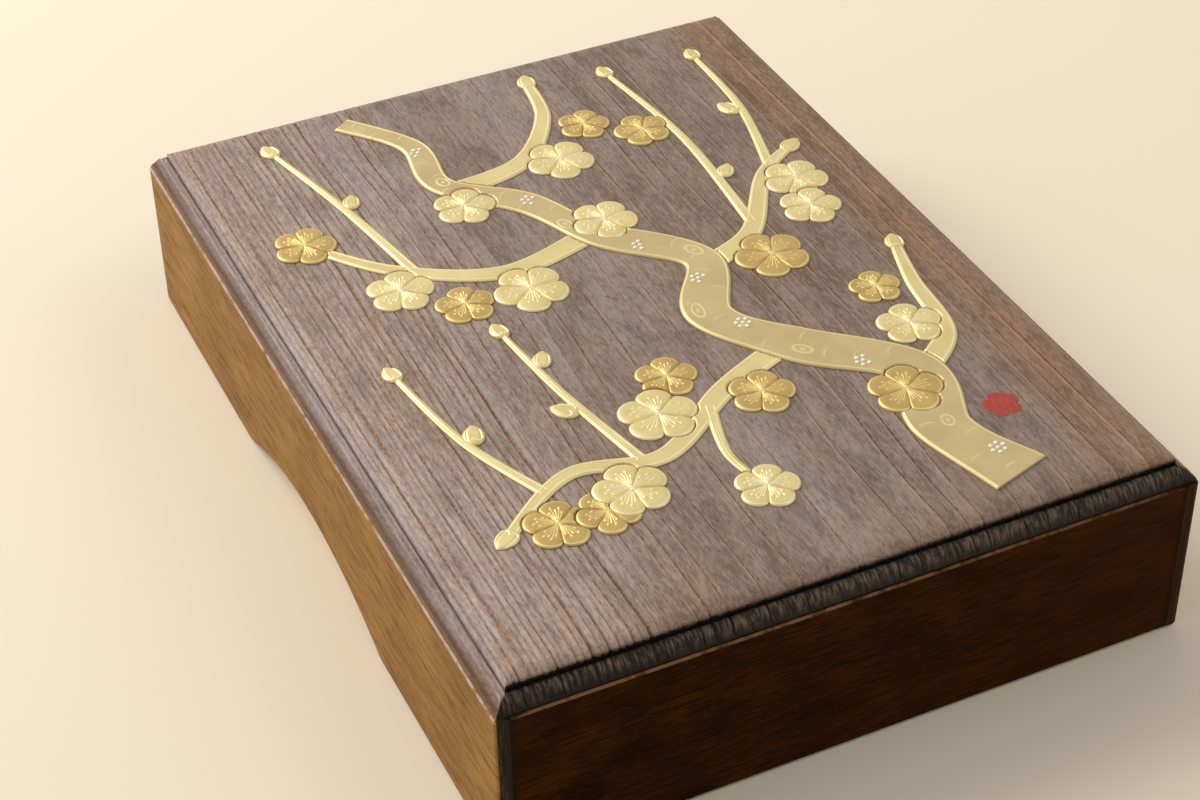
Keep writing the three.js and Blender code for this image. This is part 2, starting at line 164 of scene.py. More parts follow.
# %% [markdown]
# ## Nodes written as sums
# A material is a small network of nodes. Here a socket is wrapped so that it can be added to,
# multiplied and stretched like a number, and every such step adds its node. A group is an effect
# that several finishes share, and each finish gives it values of its own.

# %% Values that can be reckoned with
class Value:
    """What one socket gives. A sum with it is written as with a number, and adds a node."""

    def __init__(self, tree, socket):
        self.tree, self.socket = tree, socket

    def maths(self, operation, first, second=0.0):
        """One Math node, such as a sum or a power."""
        return add_node(self.tree, "ShaderNodeMath", {0: first, 1: second}, operation=operation)

    def __add__(self, other):
        return self.maths("ADD", self, other)

    def __sub__(self, other):
        return self.maths("SUBTRACT", self, other)

    def __rsub__(self, other):
        return self.maths("SUBTRACT", other, self)

    def __mul__(self, other):
        return self.maths("MULTIPLY", self, other)

    def __pow__(self, other):
        return self.maths("POWER", self, other)

    def __abs__(self):
        return self.maths("ABSOLUTE", self)

    def remap(self, low, high, to_low=0.0, to_high=1.0):
        """Stretched so that low becomes to_low and high becomes to_high, and held there."""
        return add_node(self.tree, "ShaderNodeMapRange",
                        {0: self, 1: low, 2: high, 3: to_low, 4: to_high})


def srgb(colour):
    """A colour as a picture editor names it, from 0 to 255, turned into linear light: in a straight
    line near black, and by a power of 2.4 above."""
    share = np.array(colour) / 255
    linear = np.where(share <= 0.04045, share / 12.92, ((share + 0.055) / 1.055) ** 2.4)
    return (*linear, 1.0)


def feed(tree, socket, value):
    """Wires a Value into a socket, or sets the socket. Three numbers for a colour are a picture
    editor's, and four are linear light."""
    if isinstance(value, Value):
        tree.links.new(value.socket, socket)
    elif socket.type == "RGBA" and len(value) == 3:
        socket.default_value = srgb(value)
    else:
        socket.default_value = value


def add_node(tree, kind, inputs=None, output=0, **settings):
    """A node of this kind with its settings and inputs: one output, or all by name for None."""
    node = tree.nodes.new(kind)
    for key, value in settings.items():
        setattr(node, key, value)
    for key, value in (inputs or {}).items():
        feed(tree, node.inputs[key], value)
    if output is None:
        return {socket.name: Value(tree, socket) for socket in node.outputs}
    return Value(tree, node.outputs[output])


print("mid grey in linear light:", round(srgb((128, 128, 128))[0], 3))

# %% Noise, blends and coats
def noise(place, scale, detail, roughness):
    """Cloudy noise from 0 to 1. The scale is clouds to a metre, alike or for each axis."""
    if isinstance(scale, tuple):
        place = add_node(place.tree, "ShaderNodeVectorMath", {0: place, 1: scale},
                         operation="MULTIPLY")
        scale = 1.0
    return add_node(place.tree, "ShaderNodeTexNoise", {"Vector": place, "Scale": scale,
                                                       "Detail": detail, "Roughness": roughness}, "Fac")


def blend(share, first, second, kind="MIX"):
    """Two colours mixed by a share from 0 to 1."""
    return add_node(share.tree, "ShaderNodeMix", {0: share, 6: first, 7: second}, 2,
                    data_type="RGBA", blend_type=kind)


def paint(colour, coats):
    """Coats laid over a colour. Each coat gives a value, what that is where the coat is missing
    and where it is full, the full coat's share, and its colour."""
    for value, missing, full, share, coat in coats:
        colour = blend(value.remap(missing, full, 0.0, share), colour, coat)
    return colour


print("helpers:", ", ".join(helper.__name__ for helper in (noise, blend, paint)))

# %% Masks, groups and materials
def mask_value(place, name):
    """The numbers that a mesh carries under this name."""
    return add_node(place.tree, "ShaderNodeAttribute", None, "Fac", attribute_name=name)


def make_group(name, inputs, recipe):
    """A node group, whose recipe turns the values given to it into named results."""
    tree = bpy.data.node_groups.new(name, "ShaderNodeTree")
    for label, value in inputs.items():
        kind = "NodeSocketVector" if value is None else "NodeSocketFloat"
        socket = tree.interface.new_socket(label, in_out="INPUT", socket_type=kind)
        if value is not None:
            socket.default_value = value
    results = recipe(add_node(tree, "NodeGroupInput", output=None))
    for label in results:
        tree.interface.new_socket(label, in_out="OUTPUT", socket_type="NodeSocketFloat")
    end = tree.nodes.new("NodeGroupOutput")
    for label, value in results.items():
        feed(tree, end.inputs[label], value)
    return tree


def open_material(name):
    """A new material, and the Object coordinates in its tree."""
    material = bpy.data.materials.new(name)
    material.use_nodes = True
    return material, add_node(material.node_tree, "ShaderNodeTexCoord", None, "Object")


def close_material(material, inputs, height=None, strength=0.0, depth=0.0):
    """The shader's inputs, and a bump of this height, with its strength and its depth in metres."""
    tree = material.node_tree
    if height:
        bump = {"Height": height, "Strength": strength, "Distance": depth}
        inputs["Normal"] = add_node(tree, "ShaderNodeBump", bump)
    for key, value in inputs.items():
        feed(tree, tree.nodes["Principled BSDF"].inputs[key], value)
    print("finish:", material.name)
    return material


print("helpers:", ", ".join(helper.__name__ for helper in (make_group, open_material, close_material)))

# %% [markdown]
# ## The effects that several finishes share
# Paulownia has long straight fibres. Scorched and brushed, it keeps hair-fine streaks along the
# grain and slow drifts of tone across it. Both are noise drawn out along the grain, so one group
# makes them for every board, and a Mapping node turns the coordinates where the grain runs the
# other way. A second group rubs the arrises lighter, broken up so that it doesn't look drawn.

# %% Group: fibres along the grain
QUARTER_TURN = np.pi / 2
# name, clouds to a metre along each axis, detail and roughness
FIBRES = [("Hairs", (1700, 75, 1700), 3.0, 0.65), ("Streaks", (620, 16, 620), 4.0, 0.62),
          ("Flecks", (2200, 420, 2200), 2.0, 0.6), ("Drift", (34, 7, 34), 3.0, 0.5)]


def fibre_noises(given):
    """The four noises. Fineness shrinks them all, and Shortness shrinks them along the grain."""
    place, tree = given["Place"], given["Place"].tree
    squeeze = add_node(tree, "ShaderNodeCombineXYZ", {0: 1.0, 1: given["Shortness"], 2: 1.0})
    place = add_node(tree, "ShaderNodeVectorMath", {0: place, 1: squeeze}, operation="MULTIPLY")
    place = add_node(tree, "ShaderNodeVectorMath", {0: place, "Scale": given["Fineness"]},
                     operation="SCALE")
    return {label: noise(place, *row) for label, *row in FIBRES}


fibres = make_group("fibres along Y", {"Place": None, "Fineness": 1.0, "Shortness": 1.0}, fibre_noises)


def grain_at(place, across=False, fineness=1.0, shortness=1.0):
    """The fibres' noises by name. Where across is true the grain runs along X."""
    if across:
        place = add_node(place.tree, "ShaderNodeMapping",
                         {"Vector": place, "Rotation": (0, 0, QUARTER_TURN)})
    inputs = {"Place": place, "Fineness": fineness, "Shortness": shortness}
    return add_node(place.tree, "ShaderNodeGroup", inputs, None, node_tree=fibres)


print("group:", fibres.name)

# %% Group: arrises rubbed by handling
WEAR_POWER = 8.0
WEAR_CLOUDS = (190.0, 4.0, 0.6)


def rubbing(given):
    """Wear falls off steeply beside the arris, and clouds of noise break it up."""
    patches = noise(given["Place"], *WEAR_CLOUDS).remap(0.33, 0.6, 0.1, 1.0)
    return {"Wear": given["Arris"] ** WEAR_POWER * given["Amount"] * patches}


rubbed = make_group("rubbed arrises", {"Place": None, "Arris": 0.0, "Amount": 0.5}, rubbing)
print("group:", rubbed.name)

# %% [markdown]
# ## Charred wood
# The same wood looks different on each face. Along the top, brushing has worn the soft wood into
# brown furrows and left mauve-grey ridges. The long sides are a golden brown, partly their own
# colour and partly painted light from the window; the short sides are nearly black-brown, partly
# burnt deeper and partly painted shade. End grain drinks in the flame, so it stays nearly black,
# with pale streaks where the brush caught it. The meshes say where the furrows and the end grain
# are, so each finish only has to colour them.

# %% Finish: the brushed top
SHEEN_OF_TOP, TINT_OF_TOP = 0.35, (1.0, 0.84, 0.72, 1.0)
# the second tint browns the front edge, and the right edge as painted shade; the third is painted shade on
# the left moulding
HEART_TINT, BROWN_AND_SHADE_TINT, COOL_SHADE_TINT = (0.62, 0.57, 0.5, 1.0), (0.94, 0.72, 0.5, 1.0), (0.78, 0.8, 0.9, 1.0)
# clouds to a metre along each axis, detail and roughness
MOTTLE, SPECKS = ((130, 42, 130), 3.0, 0.6), ((1100, 240, 1100), 2.0, 0.6)
PORES, GAPS = ((1100, 520, 1100), 2.0, 0.6), ((240, 430, 240), 2.0, 0.6)
BURNT_STREAKS = ((950, 210, 210), 3.0, 0.65)


def top_finish():
    """Mauve-grey ridges, streaked, mottled and specked; dark furrows with orange pores on their
    long side and, on the other, a pale line that is a painted highlight; painted shade in brown
    along the creases of the moulding; and ends burnt black as far as a ragged line, with painted
    shade in black in their creases. Each mask comes from the mesh, and noise along the fibres
    breaks its edge up. Towards its heart the wood is darker and its furrows have gaps. A painted
    sheen lightens the left of the flat. It turns brown along the front edge, and along the right
    edge as painted shade where the sheen falls away; the left of the moulding gets painted shade,
    darker and cooler."""
    material, place = open_material("charred top")
    names = ("furrow", "pale", "tone", "heart", "warmth", "char", "crease")
    furrow, pale, tone, heart, warmth, char, crease = (mask_value(place, name) for name in names)
    hairs, streaks, flecks, drift = grain_at(place).values()
    mottle, specks = noise(place, *MOTTLE), noise(place, *SPECKS)
    pores = noise(place, *PORES).remap(0.44, 0.62)
    gaps = noise(place, *GAPS).remap(0.36, 0.6, 0.5, -0.1)
    # the last coat is the pale line, a painted highlight on each furrow's hard edge
    ridge = paint(blend(tone, (156, 141, 137), (182, 168, 165)), [
        (drift, 0.4, 0.66, 0.85, (152, 131, 119)), (streaks, 0.5, 0.7, 0.55, (136, 109, 92)),
        (hairs, 0.55, 0.75, 0.5, (208, 192, 186)), (hairs, 0.46, 0.28, 0.45, (118, 92, 76)),
        (flecks, 0.52, 0.7, 0.32, (210, 197, 194)), (flecks, 0.46, 0.3, 0.45, (112, 88, 74)),
        (mottle, 0.48, 0.7, 0.55, (116, 96, 86)), (mottle, 0.48, 0.3, 0.4, (188, 168, 154)),
        (specks, 0.52, 0.7, 0.45, (204, 184, 172)), (specks, 0.47, 0.3, 0.5, (108, 82, 66)),
        (pale, 0.0, 1.0, 0.7, (226, 202, 180))])
    bank = blend(pores, (118, 94, 80), (178, 132, 94))
    ragged = furrow * (1.0 - gaps * heart) + (hairs - 0.5) * 0.6
    # the crease coat is painted shade in the moulding's cove and quirk
    wood = paint(ridge, [(ragged, 0.12, 0.42, 0.9, bank), (ragged, 0.42, 0.8, 0.92, (86, 62, 48)),
                         (crease, 0.0, 1.0, 0.9, (78, 54, 36))])
    wood = blend(heart, wood, HEART_TINT, "MULTIPLY")
    # painted shade: brown along the right edge where the sheen falls away, with the front edge's brown, then
    # darker and cooler on the left moulding
    wood = blend(warmth.remap(0.0, 1.0) * streaks.remap(0.35, 0.62, 1.35, 0.5), wood, BROWN_AND_SHADE_TINT, "MULTIPLY")
    wood = blend(warmth.remap(0.0, -1.0), wood, COOL_SHADE_TINT, "MULTIPLY")
    brushed = noise(place, *BURNT_STREAKS).remap(0.44, 0.68)
    # on the burnt ends too, the pale-line coat is a painted highlight and the crease coat painted shade
    burnt = paint(blend(brushed, (28, 20, 13), (116, 100, 80)), [
        (pale, 0.0, 1.0, 0.5, (130, 112, 90)), (furrow, 0.15, 0.6, 0.85, (14, 8, 4)),
        (crease, 0.35, 1.0, 1.0, (8, 5, 2))])
    edge = char + (streaks - 0.5) * 0.9 + furrow * 0.3
    inputs = {"Base Color": blend(edge.remap(0.68, 0.78), wood, burnt),
              "Roughness": hairs.remap(0.3, 0.7, 0.38, 0.54) + furrow * 0.2,
              "Specular IOR Level": SHEEN_OF_TOP, "Specular Tint": TINT_OF_TOP}
    height = hairs * 0.8 + streaks + flecks * 0.7 + pores * furrow * 0.8
    return close_material(material, inputs, height, strength=0.8, depth=0.25 * MM)


charred_top = top_finish()

# %% Finish: the side boards
TINT_OF_CHAR = (1.0, 0.62, 0.36, 1.0)
SIDE_SHORTNESS, SIDE_WEAR = 3.2, 1.3
END_STREAKS = ((1500, 1500, 130), 3.0, 0.6)
END_MIDDLE = 0.58
# how far in from the corner the brush caught the end grain: not at all, and fully
BRUSHED_FROM, BRUSHED_TO = 3.8 * MM, 1.6 * MM
OLIVE_TO_BROWN = 30 * MM


def side_finish(name, dark, mid, light, lip, sheen, fineness, across, end_spread):
    """Short straight grain in three tones, made lighter towards the right of the box by painted light,
    with a paler lip along the top arris. The end grain is olive-black on the left, with pale streaks
    near the corner, and brown on the right. Its edge is ragged over end_spread of its mask."""
    material, place = open_material(name)
    hairs, streaks, _, drift = grain_at(place, across, fineness, SIDE_SHORTNESS).values()
    colour = paint(blend(drift.remap(0.35, 0.66), mid, light), [
        (streaks, 0.46, 0.66, 0.85, dark), (hairs, 0.5, 0.72, 0.7, light),
        (hairs, 0.46, 0.26, 0.75, dark)])
    rub = add_node(place.tree, "ShaderNodeGroup",
                   {"Place": place, "Arris": mask_value(place, "arris"), "Amount": SIDE_WEAR},
                   node_tree=rubbed)
    x = add_node(place.tree, "ShaderNodeSeparateXYZ", {0: place}, "X")
    # painted light: the last coat lightens the boards towards the right of the box
    colour = paint(blend(rub, colour, lip), [(x, 0.0, cad_high.x, 0.4, light)])
    brushed = noise(place, *END_STREAKS).remap(0.48, 0.75)
    near_corner = abs(x).remap(cad_high.x - BRUSHED_FROM, cad_high.x - BRUSHED_TO)
    olive = blend(brushed * near_corner, (30, 25, 17), (84, 76, 60))
    brown = blend(brushed, (38, 17, 2), (64, 32, 6))
    end = mask_value(place, "end") + (streaks - 0.5) * end_spread
    end = end.remap(END_MIDDLE - end_spread / 2, END_MIDDLE + end_spread / 2)
    end_colour = blend(x.remap(-OLIVE_TO_BROWN, OLIVE_TO_BROWN), olive, brown)
    inputs = {"Base Color": blend(end, colour, end_colour),
              "Roughness": streaks.remap(0.3, 0.7, 0.45, 0.62),
              "Specular IOR Level": sheen, "Specular Tint": TINT_OF_CHAR}
    return close_material(material, inputs, hairs * 0.6 + streaks, strength=0.6, depth=0.2 * MM)


# the golden long sides are partly painted light, and the near-black short sides partly painted shade
golden_and_lit_side = side_finish("charred long side", (106, 71, 30), (140, 99, 48), (164, 119, 60),
                          (186, 164, 148), sheen=0.14, fineness=1.1, across=False, end_spread=0.35)
burnt_and_shaded_side = side_finish("charred short side", (19, 7, 1), (37, 16, 1), (66, 33, 6),
                         (124, 94, 64), sheen=0.03, fineness=1.5, across=True, end_spread=1.1)

# %% Finish: bare paulownia and the pegs
BARE_FINENESS = 0.55
PEG_GRAIN = (900.0, 4.0, 0.6)


def bare_finish(name, across):
    """Planed paulownia, pale and silky, with soft growth lines along the grain."""
    material, place = open_material(name)
    hairs, streaks, _, drift = grain_at(place, across, BARE_FINENESS).values()
    colour = paint(blend(drift.remap(0.35, 0.68), (205, 172, 130), (226, 197, 156)), [
        (streaks, 0.5, 0.74, 0.8, (170, 130, 90)), (hairs, 0.5, 0.25, 0.35, (150, 112, 76))])
    inputs = {"Base Color": colour, "Roughness": streaks.remap(0.3, 0.7, 0.5, 0.64)}
    return close_material(material, inputs, streaks, strength=0.3, depth=0.1 * MM)


def peg_finish():
    """A peg's cut end: end grain, darker than the boards, and a dark rim of painted shade."""
    material, place = open_material("peg wood")
    grain = noise(place, *PEG_GRAIN)
    colour = blend(grain.remap(0.35, 0.65), (158, 116, 74), (192, 152, 104))
    # the rim mask paints a line of shade round the peg's end
    inputs = {"Base Color": blend(mask_value(place, "rim"), colour, (84, 56, 34)),
              "Roughness": grain.remap(0.3, 0.7, 0.45, 0.6)}
    return close_material(material, inputs)


bare_along = bare_finish("bare paulownia", across=False)
bare_across = bare_finish("bare paulownia across", across=True)
peg_wood = peg_finish()

# %% [markdown]
# ## Gold lacquer
# The picture is built up in lacquer and dusted with metal powder, then rubbed to a satin. Powder
# is neither a mirror nor a paint, so the shader is less than half metal and fairly rough, with a
# fine grain in its colour. The mesh marks the raised lines, which catch the light, and they get
# a brighter gold.

# %% Finish: three golds, white lacquer and vermilion
# painted shade: a dark line round each relief's foot, where it meets the board
FOOT_SHADE_COLOUR = (92, 62, 34)
GOLD_CLOUDS, POWDER = (70.0, 4.0, 0.55), (5200.0, 2.0, 0.7)
LACQUER_CLOUDS = ((1400, 260, 1400), 3.0, 0.6)


def gold_finish(name, body, low, bright, metal):
    """Metal powder in lacquer: cloudy colour, a fine sparkle, brighter raised lines, and a dark
    line of painted shade round the foot, where the relief meets the board."""
    material, place = open_material(name)
    cloud, powder = noise(place, *GOLD_CLOUDS), noise(place, *POWDER)
    colour = paint(blend(cloud.remap(0.3, 0.72), low, body), [
        (powder, 0.55, 0.85, 0.45, bright), (mask_value(place, "line"), 0.0, 1.0, 1.0, bright),
        (mask_value(place, "foot"), 0.0, 1.0, 0.8, FOOT_SHADE_COLOUR)])
    inputs = {"Base Color": colour, "Metallic": metal, "Roughness": powder.remap(0.3, 0.7, 0.36, 0.5)}
    return close_material(material, inputs, powder, strength=0.2, depth=0.05 * MM)


def lacquer_finish(name, body, low, rough):
    """Plain opaque lacquer, slightly uneven."""
    material, place = open_material(name)
    cloud = noise(place, *LACQUER_CLOUDS)
    inputs = {"Base Color": blend(cloud.remap(0.42, 0.66), body, low),
              "Roughness": cloud.remap(0.3, 0.7, rough, rough + 0.15)}
    return close_material(material, inputs)


golds = {
    "olive_gold": gold_finish("olive gold", (221, 199, 144), (206, 182, 128), (246, 226, 164), 0.35),
    "pale_gold": gold_finish("pale gold", (248, 228, 162), (232, 208, 138), (254, 243, 196), 0.4),
    "dark_gold": gold_finish("dark gold", (216, 184, 114), (196, 162, 92), (250, 226, 146), 0.4),
}
white_lacquer = lacquer_finish("white lacquer", (250, 246, 232), (236, 230, 210), 0.3)
vermilion = lacquer_finish("vermilion lacquer", (182, 62, 48), (138, 62, 50), 0.5)

# %% [markdown]
# ## The moulded top board
# The top board is one piece of wood whose edge is planed to a moulding. A grid suits it: its outer
# rows and columns follow the moulding's outline inwards, and where a row and a column meet, the
# outer of the two decides the height. That alone gives sharp mitres at the corners.
# The furrows run the length of the board, so they are worked out from how far each point lies from
# the nearest growth line, and they carry on over the front edge as flutes in the end grain.

# %% Small formulas
def bell(distance, width):
    """1 at no distance, falling off on both sides: e to the minus square of distance / width."""
    return np.exp(-((distance / width) ** 2))


def ramp(value, none, full):
    """0 as far as none, 1 from full on, and a straight slope between."""
    return np.clip((value - none) / (full - none), 0, 1)


def at_share(share, rows):
    """A value read off a table of shares and values, straight between the rows."""
    return np.interp(share, *np.transpose(rows))


def smooth_curve(points, shares):
    """A Catmull-Rom curve: between two points it is a cubic whose slope at each point is half the
    way from the point before to the point after. Gives places and directions at shares of it."""
    points = np.asarray(points, float)
    span = shares * (len(points) - 1)
    start = np.minimum(span.astype(int), len(points) - 2)
    t = (span - start)[:, None]
    before, a, b, after = (points[np.clip(start + step, 0, len(points) - 1)] for step in (-1, 0, 1, 2))
    slope_a, slope_b = (b - before) / 2, (after - a) / 2
    cubic, square = 2 * a - 2 * b + slope_a + slope_b, 3 * b - 3 * a - 2 * slope_a - slope_b
    place = ((cubic * t + square) * t + slope_a) * t + a
    return place, (3 * cubic * t + 2 * square) * t + slope_a


print("a bell two widths out:", round(float(bell(2, 1)), 3))

# %% Growth lines in the board
# share across the board, and the gap or the width there in millimetres
GAP_SHARES = [(0, 2.3), (0.2, 2.7), (0.26, 4), (0.34, 8), (0.42, 13), (0.55, 11), (0.65, 8.5), (1, 8.5)]
WIDTH_SHARES = [(0, 1.1), (0.2, 1.05), (0.3, 0.62), (0.42, 0.5), (1, 0.42)]
GAP_SPREAD, WIDTH_SPREAD, STRENGTH_SPREAD = (0.65, 1.35), (0.7, 1.2), (0.45, 1.0)
HARD_SIDE_SHARE = 0.32
# the pale line of painted highlight lies this far before each furrow, and is this wide
HIGHLIGHT_OFFSET, HIGHLIGHT_WIDTH = 0.6 * MM, 0.3 * MM
BEYOND_EDGE, SEED = 5 * MM, 11
# height, length along the grain and length across it in millimetres, and the start in radians
WAVES = [(2.6, 95, 120, 0.6), (0.9, 31, 38, 1.9), (0.3, 11, 9, 0)]
dice = np.random.default_rng(SEED)


def growth_lines(low, high):
    """Lines across the board, close and wide at the left and far apart over the middle: places,
    widths, strengths, and a tone for the ridge before each line."""
    places = [low]
    while places[-1] < high:
        gap = at_share((places[-1] - low) / (high - low), GAP_SHARES) * MM
        places.append(places[-1] + gap * dice.uniform(*GAP_SPREAD))
    places, count = np.array(places), len(places)
    widths = at_share((places - low) / (high - low), WIDTH_SHARES) * MM
    widths = widths * dice.uniform(*WIDTH_SPREAD, count)
    return places, widths, dice.uniform(*STRENGTH_SPREAD, count), dice.uniform(0, 1, count + 1)


line_places, line_widths, line_strengths, ridge_tones = growth_lines(
    cad_low.x - BEYOND_EDGE, cad_high.x + BEYOND_EDGE)


def furrow_across(across):
    """How deep in a furrow each place across the board lies, from 0 to 1, how near the pale line of
    painted highlight before it, and its ridge's tone. Depth is a bell curve of the distance to the
    line, short on one side and long on the other, and the painted highlight is a narrow bell of its
    own."""
    after = np.clip(np.searchsorted(line_places, across), 1, len(line_places) - 1)
    before = after - 1
    soft = bell(across - line_places[before], line_widths[before])
    hard = bell(line_places[after] - across, line_widths[after] * HARD_SIDE_SHARE)
    depth = line_strengths[before] * soft + line_strengths[after] * hard
    pale = bell(line_places[after] - across - HIGHLIGHT_OFFSET, HIGHLIGHT_WIDTH)
    return np.clip(depth, 0, 1), pale * line_strengths[after], ridge_tones[after]


def grain_drift(x, y):
    """How far the grain wanders sideways at a place: the sum of three slow waves."""
    return sum(height * MM * np.sin(y / (along * MM) + x / (across * MM) + start)
               for height, along, across, start in WAVES)


print(len(line_places), "growth lines")

# %% The moulding's outline
MOULDING_WIDTH, MOULDING_RISE = 5.4 * MM, 5.4 * MM
RISER = 1.8 * MM
RISER_SHARES = np.array([0.25, 0.6, 0.92])
CROWN_WIDTH, CROWN_POWER, CROWN_CROWDING = 12 * MM, 5, 1.4
# share of the way in, and of the way up
MOULDING_SHARES = [(0, 0), (0, 0.2), (0.24, 0.52), (0.44, 0.78), (0.57, 0.88), (0.92, 1), (1, 0.94)]
MOULDING_RINGS, CROWN_RINGS = 19, 20
top_low, top_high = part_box("lid_top_board")
field_height = top_high.z


def moulding_outline():
    """How far in and how high each ring of the board's edge lies: a smooth curve through the
    moulding's points, a sharp riser, and a crown whose drop fades with a power of the way in.
    The crown's rings are set closer together towards the riser."""
    thickness = top_high.z - top_low.z
    curve, _ = smooth_curve(MOULDING_SHARES, np.linspace(0, 1, MOULDING_RINGS))
    quirk = MOULDING_RISE * MOULDING_SHARES[-1][1]
    riser = np.full((len(RISER_SHARES), 2), MOULDING_WIDTH)
    riser[:, 1] = quirk + RISER_SHARES * (RISER + MOULDING_RISE - quirk)
    way = np.linspace(0, 1, CROWN_RINGS) ** CROWN_CROWDING
    drop = (thickness - MOULDING_RISE - RISER) * (1 - way) ** CROWN_POWER
    crown = np.stack([MOULDING_WIDTH + way * CROWN_WIDTH, thickness - drop], axis=1)
    rings = np.concatenate([curve * (MOULDING_WIDTH, MOULDING_RISE), riser, crown])
    return rings[:, 0], top_low.z + rings[:, 1]


ring_in, ring_height = moulding_outline()
ring_run = np.concatenate([[0], np.cumsum(np.hypot(np.diff(ring_in), np.diff(ring_height)))])
quirk_run = ring_run[MOULDING_RINGS]
print(len(ring_in), "rings from the lower arris to the flat, over", round(ring_run[-1] / MM, 1), "mm")

# %% The board's rows and columns
RIDGE_STEP, ROW_STEP = 1.15 * MM, 4.2 * MM
STEPS_INTO_FURROW = np.array([-0.45, -0.2, 0, 0.3, 0.65, 1.1])
STEPS_OVER_HIGHLIGHT = np.array([-1.2, 0, 1.2])
flat_reach = top_high.x - ring_in[-1]


def field_columns():
    """Columns over the flat: six to each furrow, three to the pale line of painted highlight before
    it, and others in between that are never further apart than a ridge step."""
    near = line_places[:, None] + line_widths[:, None] * STEPS_INTO_FURROW
    beside = line_places[:, None] - HIGHLIGHT_OFFSET + HIGHLIGHT_WIDTH * STEPS_OVER_HIGHLIGHT
    near = np.unique(np.concatenate([near.ravel(), beside.ravel()]))
    near = near[np.abs(near) < flat_reach - RIDGE_STEP / 2]
    ends = np.concatenate([[-flat_reach], near, [flat_reach]])
    columns = [np.linspace(a, b, int(np.ceil((b - a) / RIDGE_STEP)) + 1)[:-1]
               for a, b in zip(ends[:-1], ends[1:])]
    return np.concatenate(columns)[1:]


def ringed(reach, inner):
    """The rings, the inner places and the rings again, from one edge to the other, with each
    place's ring counted from the nearer edge."""
    places = np.concatenate([-reach + ring_in, inner, reach - ring_in[::-1]])
    count = np.arange(len(places))
    return places, np.minimum(np.minimum(count, count[::-1]), len(ring_in) - 1)


column_places, column_rings = ringed(top_high.x, field_columns())
row_reach = top_high.y - ring_in[-1]
inner_rows = np.linspace(-row_reach, row_reach, int(2 * row_reach / ROW_STEP))[1:-1]
row_places, row_rings = ringed(top_high.y, inner_rows)
print(len(column_places), "columns and", len(row_places), "rows")

# %% What lies where on the top board
# share across the board, and how much heart, how strong the pale line of painted highlight, and how deep a
# furrow is there
HEART_SHARES = [(0, 0), (0.1, 0.1), (0.28, 0.5), (0.38, 0.9), (0.5, 0.78), (0.7, 0.95), (0.88, 0.95),
                (0.96, 0.55)]
HIGHLIGHT_SHARES = [(0, 0.1), (0.4, 0.35), (1, 1)]
FURROW_SHARES = [(0, 0.72), (0.1, 0.85), (0.2, 0.9), (0.3, 0.72), (0.42, 0.85), (0.7, 1)]
BEAT_LENGTH, BEAT_TURNS, BEAT_LEVEL, BEAT_SWING = 17 * MM, 900, 0.8, 0.2
CHAR_REACH = 4.4 * MM
BROWN_EDGE, BROWN_REACH = 0.5, 34 * MM
# painted shade: the right edge turns brown between these shares, where the window's sheen falls away
SHADE_BROWN_FROM, SHADE_BROWN_TO = 0.85, 0.93
# painted sheen: how much the left of the flat is lightened, and how far in it reaches
LEFT_SHEEN, LEFT_SHEEN_REACH = 0.6, 0.14
# shares of the way up the moulding, from its lower arris at 0 to the quirk at 1 and beyond, and how much
# painted shade lies there
CREASE_SHADE_SHARES = [(0, 0.2), (0.04, 0.4), (0.1, 0.9), (0.28, 0.9), (0.48, 0.3), (0.82, 0.05),
                 (0.94, 0.62), (1.06, 0.62), (1.16, 0)]
END_CREASE_SHADE_SHARES = [(0, 1), (0.16, 0.92), (0.32, 0.68), (0.52, 0.3), (0.7, 0.12), (0.8, 0.45),
                     (0.88, 1), (1.16, 1), (1.3, 0)]
COOL_SHADE_SHARES = [(0.3, 0), (0.5, 1), (0.82, 1), (0.92, 0.1), (1.1, 0.1), (1.2, 1), (1.32, 1), (1.6, 0)]

across, along = np.meshgrid(column_places, row_places)
column_ring, row_ring = np.meshgrid(column_rings, row_rings)
ring = np.minimum(column_ring, row_ring)
at_end = row_ring < column_ring
share_across = (across + top_high.x) / (2 * top_high.x)
share_up = ring_run[ring] / quirk_run


def top_masks():
    """Masks for the finish. Furrows beat slowly along their length and are softer at the left
    except where the wood is charred, at the two ends. The brown along the front edge, and the
    painted shade that browns the right edge where the sheen falls away, count above 0; the painted
    shade that darkens and cools the left moulding counts below 0."""
    heart = at_share(share_across, HEART_SHARES)
    char = np.where(at_end, ramp(share_up, 1 + CHAR_REACH / quirk_run, 1), 0)
    furrow, pale, tone = furrow_across(across)
    beat = BEAT_LEVEL + BEAT_SWING * np.sin(along / BEAT_LENGTH + across * BEAT_TURNS)
    softened = 1 - at_share(share_across, FURROW_SHARES)
    front = BROWN_EDGE * ramp(along - row_places[0], BROWN_REACH, 0)
    # painted shade: browner along the right edge, where the window's sheen falls away
    brown = np.maximum(front, ramp(share_across, SHADE_BROWN_FROM, SHADE_BROWN_TO))
    # painted shade: darker and cooler on the left moulding
    cool_shade = at_share(share_up, COOL_SHADE_SHARES) * (across < 0) * ~at_end
    # painted shade in the moulding's hollows: its cove, its quirk, and under the burnt ends
    crease = np.where(at_end, at_share(share_up, END_CREASE_SHADE_SHARES), at_share(share_up, CREASE_SHADE_SHARES))
    # the tone carries a painted sheen over the left of the flat
    return {"furrow": furrow * beat * (1 - softened * (1 - char)),
            "pale": pale * at_share(share_across, HIGHLIGHT_SHARES),
            "tone": tone + LEFT_SHEEN * ramp(share_across, LEFT_SHEEN_REACH, LEFT_SHEEN_REACH / 2),
            "heart": heart, "warmth": brown - cool_shade, "char": char, "crease": crease}


masks = top_masks()
print("masks:", ", ".join(masks))

